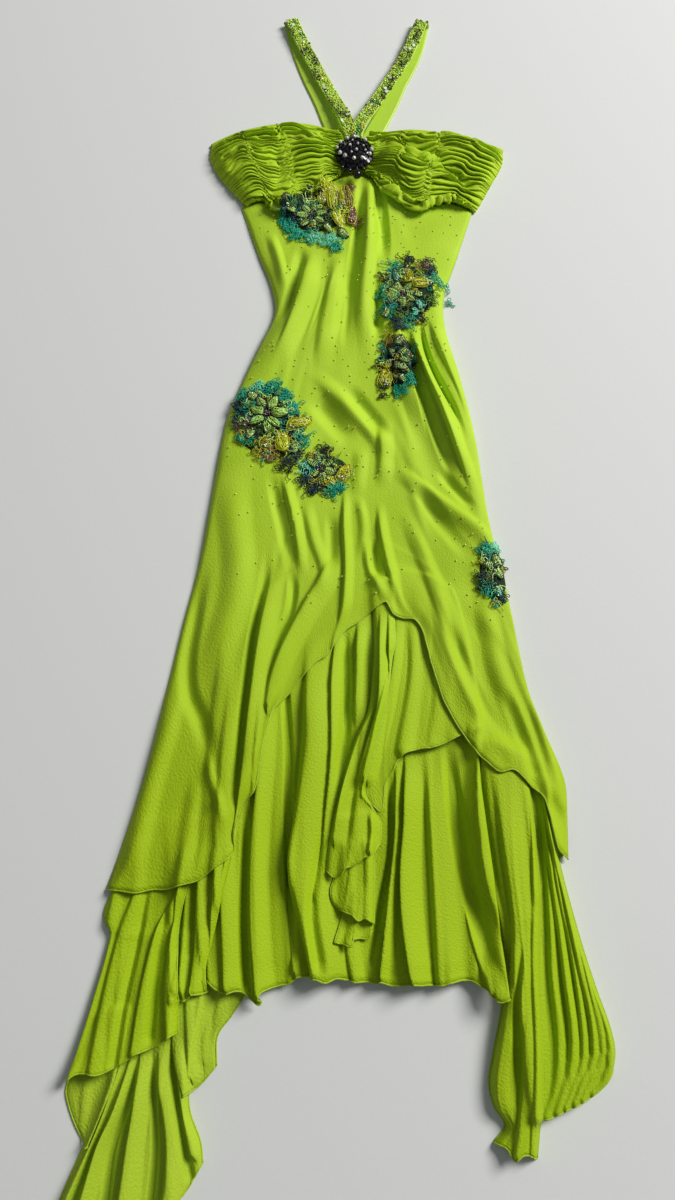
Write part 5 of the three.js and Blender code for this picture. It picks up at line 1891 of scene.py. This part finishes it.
@dataclass(frozen=True)
class Tuft:
    """A tangle of yarn: its middle, how far it spreads, how many threads it has and which yarn."""

    x: float
    y: float
    spread: float
    count: int
    yarn: Thread


@dataclass
class Needle:
    """What sews one patch: its shape so far, the workshop, and chance."""

    shape: Shape
    shop: Workshop
    chance: Chance

    def bead_at(self, x: float, y: float, high: float, small: float, large: float) -> Array:
        """Where a bead goes.

        Args:
            x, y: its place in the plan.
            high: how far it stands above the cloth.
            small, large: the smallest and the largest that its radius may be.

        Returns:
            A matrix of 3 rows and 4 columns.
        """
        centre = [x, y, self.shop.height(x, y) + high]
        return tumbled(centre, self.chance.uniform(small, large), self.chance)

    def add_leaf(self, leaf: Leaf) -> None:
        """Adds a padded leaf with its cord outline, and satin stitches across it or long ones down it.

        Args:
            leaf: what to add.
        """
        shape, chance = self.shape, self.chance
        heading = math.radians(leaf.heading)
        along = unit(np.array([math.cos(heading), math.sin(heading), chance.normal(0, 0.10)]))
        side = unit(np.array([-math.sin(heading), math.cos(heading), chance.normal(0, 0.14)]))
        centre = np.array([leaf.x, leaf.y, self.shop.height(leaf.x, leaf.y) + 1.9 + chance.uniform(0, 1.2)])
        half, width = leaf.long / 2, leaf.wide / 2
        shape.add_copies(
            self.shop.bench.pad, [placed(centre, (half, width, 1.3), along, np.cross(along, side))], leaf.pad.place
        )

        def at(px: Array, py: Array, rise: Array | float) -> Array:
            """Points on the leaf.

            Args:
                px, py: shares of its half-length and half-width.
                rise: how high they stand above its swell.

            Returns:
                Rows of (x, y, z).
            """
            swell = 1.35 * np.sqrt(np.clip(1 - px**2 - py**2, 0, 1))
            flat = centre + np.outer(px * half, along) + np.outer(py * petal_width(px) * width, side)
            return flat + np.column_stack([0 * px, 0 * px, 0.1 + swell + rise])

        turn = np.linspace(0, FULL_TURN, 17)
        wobble = 1.06 + 0.05 * np.sin(5 * turn + chance.uniform(0, 6))
        edge = Thread.OUTLINE if leaf.pad in (Thread.PETAL, Thread.SKY) else Thread.GOLD
        shape.add_tube(at(np.cos(turn) * wobble, np.sin(turn) * wobble, 0.6), 0.72, 4, edge.place)
        if leaf.long < LONG_LEAF:
            vein = np.linspace(-0.9, 0.9, 4)
            shape.add_tube(at(vein, 0.05 * np.cos(3 * vein), 0.45), 0.5, 4, Thread.OUTLINE.place)
            for place in np.arange(-0.7, 0.8, 4.6 / leaf.long):
                reach = 0.92 * math.sqrt(1 - place**2)
                across = np.linspace(-reach, reach, 4)
                bow = place + 0.14 * (1 - (across / reach) ** 2) + chance.normal(0, 0.03)
                shape.add_tube(at(bow, across, 0.15), 0.6, 4, leaf.stitch.place)
            return
        for k in range(int(leaf.long * leaf.wide / 9)):
            start, lane = chance.uniform(-0.92, 0.35), chance.uniform(-0.8, 0.8)
            px = start + np.linspace(0, chance.uniform(0.35, 0.7), 5)
            py = lane * arch(px) + 0.10 * np.sin(px * 9 + k) + chance.normal(0, 0.04)
            stitch = leaf.stitch if k % 3 else leaf.pad
            shape.add_tube(at(px, py, 0.2 + 0.9 * chance.random()), 0.5, 3, stitch.place)

    def add_tuft(self, tuft: Tuft) -> None:
        """Adds a tangle of yarn: threads that wander in loops over the ground.

        Args:
            tuft: what to add.
        """
        chance = self.chance
        radius = 0.4 if tuft.yarn is Thread.COPPER else 0.6
        for _ in range(int(tuft.count * 0.62)):
            out, turn = tuft.spread * math.sqrt(chance.random()) * 0.8, chance.uniform(0, FULL_TURN)
            at = np.array(stepped(tuft.x, tuft.y, turn, out))
            heading, curl = chance.uniform(0, FULL_TURN), chance.choice([-1, 1]) * chance.uniform(0.15, 0.75)
            steps = int(chance.integers(8, 14))
            path = []
            for _ in range(steps):
                away = np.hypot(at[0] - tuft.x, at[1] - tuft.y) / tuft.spread
                home = math.atan2(tuft.y - at[1], tuft.x - at[0])
                pull = math.sin(home - heading) * min(away, 1.3) ** 2 * 0.6
                heading += curl + pull + chance.normal(0, 0.25)
                at = at + 1.8 * np.array([math.cos(heading), math.sin(heading)])
                path.append(at)
            path = np.array(path)
            lift = 1.2 + 1.6 * chance.random() + 1.5 * np.sin(np.linspace(0, math.pi, steps)) * chance.random()
            height = self.shop.over(path[:, 0], path[:, 1]) + lift
            self.shape.add_tube(np.column_stack([path, height]), radius, 3, tuft.yarn.place)

    def add_flower(self, flower: Flower) -> None:
        """Adds a flower's petals, the knot of beads in its middle, and clear ones about it.

        Args:
            flower: what to add.
        """
        shape, chance, bead = self.shape, self.chance, self.shop.bench.bead
        for k in range(flower.petals):
            heading = flower.turn + 360 * k / flower.petals + chance.normal(0, 6)
            reach = flower.reach * chance.uniform(0.92, 1.08)
            x, y = stepped(flower.x, flower.y, math.radians(heading), reach)
            size = chance.uniform(0.95, 1.15)
            self.add_leaf(Leaf(x, y, heading, flower.long * size, flower.wide * size * chance.uniform(0.9, 1.12)))
        knot = []
        for k in range(15):
            out, turn = (0 if k == 0 else 2.6 if k < 7 else 5.0), chance.uniform(0, 0.3) + FULL_TURN * k / 7
            knot.append(self.bead_at(*stepped(flower.x, flower.y, turn, out), 4.4 - 0.35 * out, 1.2, 1.7))
        shape.add_copies(bead, knot[:8], flower.centre.place)
        shape.add_copies(bead, knot[8:], Thread.OUTLINE.place)
        clear = [tumbled([*(place[:2, 3] + chance.normal(0, 3.5, 2)), place[2, 3] + 0.8], 0.6, chance)
                 for place in knot[:9]]
        shape.add_copies(bead, clear, Thread.CRYSTAL.place)


@dataclass(frozen=True)
class Patch:
    """An embroidered patch on felt: flowers, leaves, tangles of yarn and scattered clear beads.

    It lies about (x, y), half_wide by half_long, turned by turn degrees. lobes is how uneven its outline is.
    """

    name: str
    x: float
    y: float
    half_wide: float
    half_long: float
    turn: float
    flowers: tuple[Flower, ...]
    leaves: tuple[Leaf, ...]
    tufts: tuple[Tuft, ...]
    seed: int
    lobes: float = 0.10

    CELLS = 26  # of the felt, each way
    FELT = 0.86  # how far the felt and its yarns reach, for the patch

    def felt(self, shop: Workshop) -> Shape:
        """The ground that holds the embroidery together, with a lobed outline.

        Args:
            shop: where it is made.

        Returns:
            Its form.
        """
        steps = np.linspace(-1, 1, self.CELLS + 1)
        u, v = np.meshgrid(steps, -steps)
        u, v = u * np.sqrt(1 - v**2 / 2), v * np.sqrt(1 - u**2 / 2)
        far, turn = np.hypot(u, v), np.arctan2(v, u)
        lobed = 1 + self.lobes * Noise(self.seed).at(2 * np.cos(turn) + 5, 2 * np.sin(turn) + 5) * far
        px, py = self.FELT * self.half_wide * u * lobed, self.FELT * self.half_long * v * lobed
        x, y = stepped(self.x, self.y, math.radians(self.turn), px, py)
        under = shop.over(x, y)
        thick = 0.5 + 1.1 * arch(far) + 0.25 * Noise(self.seed + 1).at(x / 3, y / 3)
        upper = np.stack([x, y, under + np.maximum(thick, 0.3)], axis=-1)
        shape = Shape()
        shape.add_shell(upper, np.stack([x, y, under], axis=-1), np.stack([x, y], axis=-1))
        return shape

    def ground(self, chance: Chance) -> list[Tuft]:
        """The mixed yarns that fill the felt between the flowers and leaves.

        Args:
            chance: where their places and colours are drawn from.

        Returns:
            A tuft for each.
        """
        tufts = []
        for _ in range(int(self.half_wide * self.half_long / 34)):
            out, turn = math.sqrt(chance.random()) * self.FELT, chance.uniform(0, FULL_TURN)
            px, py = self.half_wide * out * math.cos(turn), self.half_long * out * math.sin(turn)
            x, y = stepped(self.x, self.y, math.radians(self.turn), px, py)
            tufts.append(Tuft(x, y, 9, 10, chance.choice(list(GROUND), p=list(GROUND.values()))))
        return tufts

    def build(self, shop: Workshop) -> None:
        """Makes the patch in place of its CAD solid.

        Args:
            shop: where it is made.
        """
        chance = np.random.default_rng(self.seed)
        needle = Needle(self.felt(shop), shop, chance)
        for tuft in (*self.ground(chance), *self.tufts):
            needle.add_tuft(tuft)
        for leaf in self.leaves:
            needle.add_leaf(leaf)
        for flower in self.flowers:
            needle.add_flower(flower)
        clear = []
        for leaf in self.leaves:
            for _ in range(int(leaf.long * leaf.wide / 30)):
                along, side = chance.uniform(-0.42, 0.42) * leaf.long, chance.uniform(-0.36, 0.36) * leaf.wide
                place = stepped(leaf.x, leaf.y, math.radians(leaf.heading), along, side)
                clear.append(needle.bead_at(*place, 4.8, 0.7, 1.1))
        needle.shape.add_copies(shop.bench.bead, clear, Thread.CRYSTAL.place)
        finishes = [thread.value for thread in Thread]
        shop.piece(f"{self.name}_embroidery", needle.shape, finishes, (self.name,))


T = Thread  # short, for the table
PATCHES = (
    Patch(
        "patch_bust", -52, -112, 50, 36, 0,
        flowers=(Flower(-59, -118, 7, 14, 17, 9.5, 20),),
        leaves=(
            Leaf(-30, -84, 94, 50, 15, T.YELLOW, T.YELLOW), Leaf(-22, -126, -70, 38, 14, T.YELLOW, T.YELLOW),
            Leaf(-9, -86, 100, 38, 11, T.COPPER, T.GOLD), Leaf(-43, -80, 74, 32, 12, T.YELLOW, T.GOLD),
            Leaf(-18, -92, 98, 36, 11, T.YELLOW, T.GOLD), Leaf(-3, -120, 82, 30, 11, T.COPPER, T.COPPER),
            Leaf(-16, -152, -40, 18, 10), Leaf(-88, -112, 150, 17, 9), Leaf(-68, -92, 120, 17, 9),
            Leaf(-36, -142, -60, 18, 9),
        ),
        tufts=(
            Tuft(-92, -104, 11, 34, T.NAVY), Tuft(-88, -122, 12, 40, T.NAVY), Tuft(-99, -122, 9, 40, T.TEAL),
            Tuft(-92, -137, 10, 50, T.TEAL), Tuft(-76, -152, 12, 60, T.TEAL), Tuft(-54, -158, 12, 54, T.SKY),
            Tuft(-34, -162, 12, 50, T.SKY), Tuft(-26, -172, 11, 36, T.TEAL), Tuft(-12, -94, 9, 44, T.COPPER),
            Tuft(-1, -128, 9, 60, T.COPPER), Tuft(-8, -70, 8, 40, T.COPPER), Tuft(-40, -70, 9, 36, T.YELLOW),
            Tuft(-26, -76, 11, 44, T.YELLOW), Tuft(-20, -116, 10, 40, T.YELLOW), Tuft(-52, -92, 22, 36, T.OUTLINE),
            Tuft(-66, -130, 20, 36, T.OUTLINE), Tuft(-38, -118, 12, 30, T.OUTLINE),
        ),
        seed=81,
    ),
    Patch(
        "patch_waist_upper", 68, -250, 38, 52, -8,
        flowers=(Flower(62, -249, 7, 13, 16, 8, 60),),
        leaves=(
            Leaf(68, -218, 100, 28, 15, T.YELLOW, T.GOLD), Leaf(90, -231, 8, 28, 15, T.GOLD, T.YELLOW),
            Leaf(54, -222, 110, 18, 9, T.SKY, T.TEAL), Leaf(40, -280, 60, 16, 9), Leaf(84, -250, -10, 12, 9),
            Leaf(84, -266, -70, 16, 8, T.SKY, T.SKY),
        ),
        tufts=(
            Tuft(98, -206, 15, 50, T.NAVY), Tuft(90, -200, 12, 24, T.COPPER), Tuft(73, -192, 9, 26, T.OUTLINE),
            Tuft(53, -208, 9, 36, T.TEAL), Tuft(37, -246, 9, 36, T.TEAL), Tuft(42, -276, 12, 40, T.TEAL),
            Tuft(68, -290, 13, 36, T.TEAL), Tuft(56, -298, 12, 50, T.NAVY), Tuft(84, -272, 9, 30, T.SKY),
            Tuft(104, -226, 9, 30, T.TEAL), Tuft(120, -232, 9, 12, T.TEAL), Tuft(126, -250, 7, 8, T.TEAL),
            Tuft(62, -262, 20, 36, T.OUTLINE), Tuft(46, -228, 14, 26, T.OUTLINE),
        ),
        seed=82,
    ),
    Patch(
        "patch_waist_lower", 51, -352, 25, 42, -10,
        flowers=(Flower(53, -350, 5, 10, 14, 8, 50, T.GOLD),),
        leaves=(
            Leaf(37, -376, 80, 25, 17, T.GOLD, T.YELLOW), Leaf(42, -355, 30, 16, 10, T.YELLOW, T.YELLOW),
            Leaf(56, -326, 70, 15, 10), Leaf(68, -344, -60, 15, 8, T.COPPER, T.COPPER), Leaf(60, -364, -30, 13, 10),
            Leaf(60, -380, -50, 12, 8),
        ),
        tufts=(
            Tuft(42, -318, 9, 28, T.GOLD), Tuft(42, -330, 9, 30, T.COPPER), Tuft(56, -394, 10, 44, T.TEAL),
            Tuft(69, -380, 9, 36, T.TEAL), Tuft(36, -392, 9, 22, T.OUTLINE), Tuft(52, -350, 16, 30, T.OUTLINE),
            Tuft(70, -360, 8, 24, T.NAVY),
        ),
        seed=83,
    ),
    Patch(
        "patch_hip", -110, -440, 46, 60, 28,
        flowers=(Flower(-112, -428, 7, 16, 20, 11, 10),),
        leaves=(
            Leaf(-93, -464, 96, 34, 16, T.YELLOW, T.YELLOW), Leaf(-71, -441, 18, 32, 14, T.GOLD, T.YELLOW),
            Leaf(-113, -468, 60, 18, 13, T.GOLD, T.GOLD), Leaf(-138, -440, 70, 14, 9, T.PETAL, T.COPPER),
            Leaf(-132, -402, 140, 14, 10), Leaf(-133, -456, -110, 16, 10),
        ),
        tufts=(
            Tuft(-107, -388, 12, 44, T.TEAL), Tuft(-90, -402, 12, 54, T.TEAL), Tuft(-80, -422, 11, 54, T.TEAL),
            Tuft(-142, -398, 11, 34, T.TEAL), Tuft(-128, -388, 11, 30, T.SKY), Tuft(-148, -412, 10, 36, T.NAVY),
            Tuft(-150, -436, 10, 30, T.NAVY), Tuft(-143, -442, 11, 40, T.COPPER), Tuft(-108, -486, 12, 44, T.COPPER),
            Tuft(-88, -498, 11, 40, T.OUTLINE), Tuft(-66, -466, 12, 40, T.TEAL), Tuft(-78, -482, 12, 34, T.NAVY),
            Tuft(-112, -430, 26, 50, T.OUTLINE), Tuft(-142, -460, 8, 20, T.GOLD),
        ),
        seed=84,
    ),
    Patch(
        "patch_hip_small", -38, -505, 34, 27, -20,
        flowers=(Flower(-45, -502, 6, 12, 15, 9, 40),),
        leaves=(
            Leaf(-15, -510, 62, 26, 15, T.YELLOW, T.GOLD), Leaf(-33, -519, -30, 13, 10, T.GOLD, T.YELLOW),
            Leaf(-53, -484, 160, 13, 9, T.GOLD, T.GOLD),
        ),
        tufts=(
            Tuft(-62, -520, 9, 36, T.NAVY), Tuft(-52, -530, 9, 36, T.NAVY), Tuft(-32, -532, 10, 40, T.TEAL),
            Tuft(-38, -482, 10, 34, T.OUTLINE), Tuft(-20, -526, 9, 24, T.TEAL), Tuft(-44, -502, 18, 36, T.OUTLINE),
            Tuft(-64, -504, 8, 24, T.SKY),
        ),
        seed=85,
    ),
    Patch(
        "patch_thigh", 161, -642, 16, 40, 8,
        flowers=(),
        leaves=(
            Leaf(166, -624, 110, 18, 10), Leaf(157, -630, 170, 13, 9), Leaf(168, -640, -60, 17, 9),
            Leaf(166, -664, -70, 15, 8, T.SKY, T.SKY),
        ),
        tufts=(
            Tuft(157, -612, 11, 50, T.TEAL), Tuft(163, -606, 8, 20, T.SKY), Tuft(152, -652, 12, 60, T.OUTLINE),
            Tuft(154, -644, 10, 20, T.NAVY), Tuft(168, -668, 9, 30, T.NAVY), Tuft(156, -660, 9, 26, T.TEAL),
        ),
        seed=86,
    ),
)


@dataclass(frozen=True)
class Scatter:
    """Single clear beads sewn over the bodice, closer together round the patches."""

    count: int = 300
    size: float = 0.95
    seed: int = 91
    low: float = -700.0
    high: float = -110.0
    apart: float = 6.0

    NEAR_PATCH = 0.62  # share of them drawn round a patch
    YELLOW = 0.25  # share of them that are yellow
    EDGE = 8.0  # how far they stay inside the bodice's edges

    def place(self, chance: Chance) -> Point:
        """A place for a bead, round one of the patches or anywhere on the bodice.

        Args:
            chance: where it is drawn from.

        Returns:
            Its x and y.
        """
        if chance.random() < self.NEAR_PATCH:
            patch = PATCHES[int(chance.integers(len(PATCHES)))]
            spread = (patch.half_wide * 1.1, patch.half_long * 0.95)
            x, y = np.array([patch.x, patch.y]) + chance.normal(0, 1, 2) * spread
            return x, y
        return chance.uniform(-150, 150), self.high - (self.high - self.low) * chance.random() ** 1.3

    def build(self, shop: Workshop) -> None:
        """Makes the beads.

        Args:
            shop: where they are made.
        """
        chance = np.random.default_rng(self.seed)
        sides = [Line(edge).points for edge in (FRONT.left, FRONT.right)]
        spots: list[Point] = []
        kinds: list[list[Array]] = [[], []]
        while len(spots) < self.count:
            x, y = self.place(chance)
            left, right = (np.interp(-y, -side[:, 1], side[:, 0]) for side in sides)
            if not (self.low < y < self.high and left + self.EDGE < x < right - self.EDGE):
                continue
            if any(math.hypot(x - s[0], y - s[1]) < self.apart for s in spots):
                continue
            if any(math.hypot((x - p.x) / p.half_wide, (y - p.y) / p.half_long) < 0.95 for p in PATCHES):
                continue
            spots.append((x, y))
            kind = int(chance.random() < self.YELLOW)
            centre = [x, y, shop.height(x, y) + 0.5 * self.size]
            kinds[kind].append(tumbled(centre, self.size * chance.uniform(0.85, 1.2), chance, 1.0))
        shape = Shape()
        for kind, places in enumerate(kinds):
            shape.add_copies(shop.bench.bead, places, kind)
        shop.piece("seed_beads", shape, ["lime glass", "yellow glass"])


# --- Stage ---


@dataclass(frozen=True)
class Stage:
    """A plain pale floor, a large soft lamp to the upper right, and the camera above the knees.

    eye is the camera's place and tilt how far it looks up the dress, in degrees. floor is the floor's width, lamp
    the lamp's place, key_power its watts and key_size its width, in metres. sky is the strength of the room's light.
    """

    eye: tuple[float, float, float] = (-23.6, -993.9, 1000.0)
    tilt: float = 18.0
    lens: float = 26.4
    floor: float = 6.0
    lamp: tuple[float, float, float] = (4.5, 2.6, 4.1)
    aim: tuple[float, float, float] = (0.0, -0.1, 0.0)
    key_power: float = 488.0
    key_size: float = 2.6
    sky: float = 0.175

    def build(self, shop: Workshop) -> None:
        """Sets up the camera, the lights and the floor.

        Args:
            shop: whose point the camera is placed from.
        """
        scene = bpy.context.scene
        scene.view_settings.view_transform = "Standard"
        camera = bpy.data.objects.new("camera", bpy.data.cameras.new("camera"))
        camera.location = Vector(np.array(self.eye) * MM + shop.datum)
        camera.rotation_euler = (math.radians(self.tilt), 0, 0)
        camera.data.lens = self.lens
        camera.data.clip_start = 0.01
        camera.data.dof.use_dof = False
        scene.collection.objects.link(camera)
        scene.camera = camera
        key = bpy.data.objects.new("key lamp", bpy.data.lights.new("key lamp", "AREA"))
        key.data.energy = self.key_power
        key.data.size = self.key_size
        key.data.color = (1.0, 0.985, 0.96)
        key.location = self.lamp
        key.rotation_euler = (Vector(self.aim) - key.location).to_track_quat("-Z", "Y").to_euler()
        scene.collection.objects.link(key)
        world = bpy.data.worlds.new("pale room")
        world.use_nodes = True
        background = world.node_tree.nodes["Background"].inputs
        background["Color"].default_value = linear("#EDF1F6")
        background["Strength"].default_value = self.sky
        scene.world = world
        half = self.floor / 2
        mesh = bpy.data.meshes.new("floor")
        mesh.from_pydata([(-half, -half, 0), (half, -half, 0), (half, half, 0), (-half, half, 0)], [], [(0, 1, 2, 3)])
        # Uncoated paper roll: even, matt and off-white, so that only the dress's own soft shadow shows on it.
        mesh.materials.append(Finish("matt paper", "#E5E6E4", "#E0E2E0", roughness=0.9).make())
        floor = bpy.data.objects.new("floor", mesh)
        scene.collection.objects.link(floor)


def main() -> None:
    """Builds the dress from the surface up."""
    logging.basicConfig(level=logging.INFO, format="%(name)s %(message)s")
    shop = Workshop()
    Stage().build(shop)
    for work in (*PANELS, *STRAPS, *CUPS, Brooch(), *PATCHES, Scatter()):
        work.build(shop)


if __name__ == "__main__":
    main()
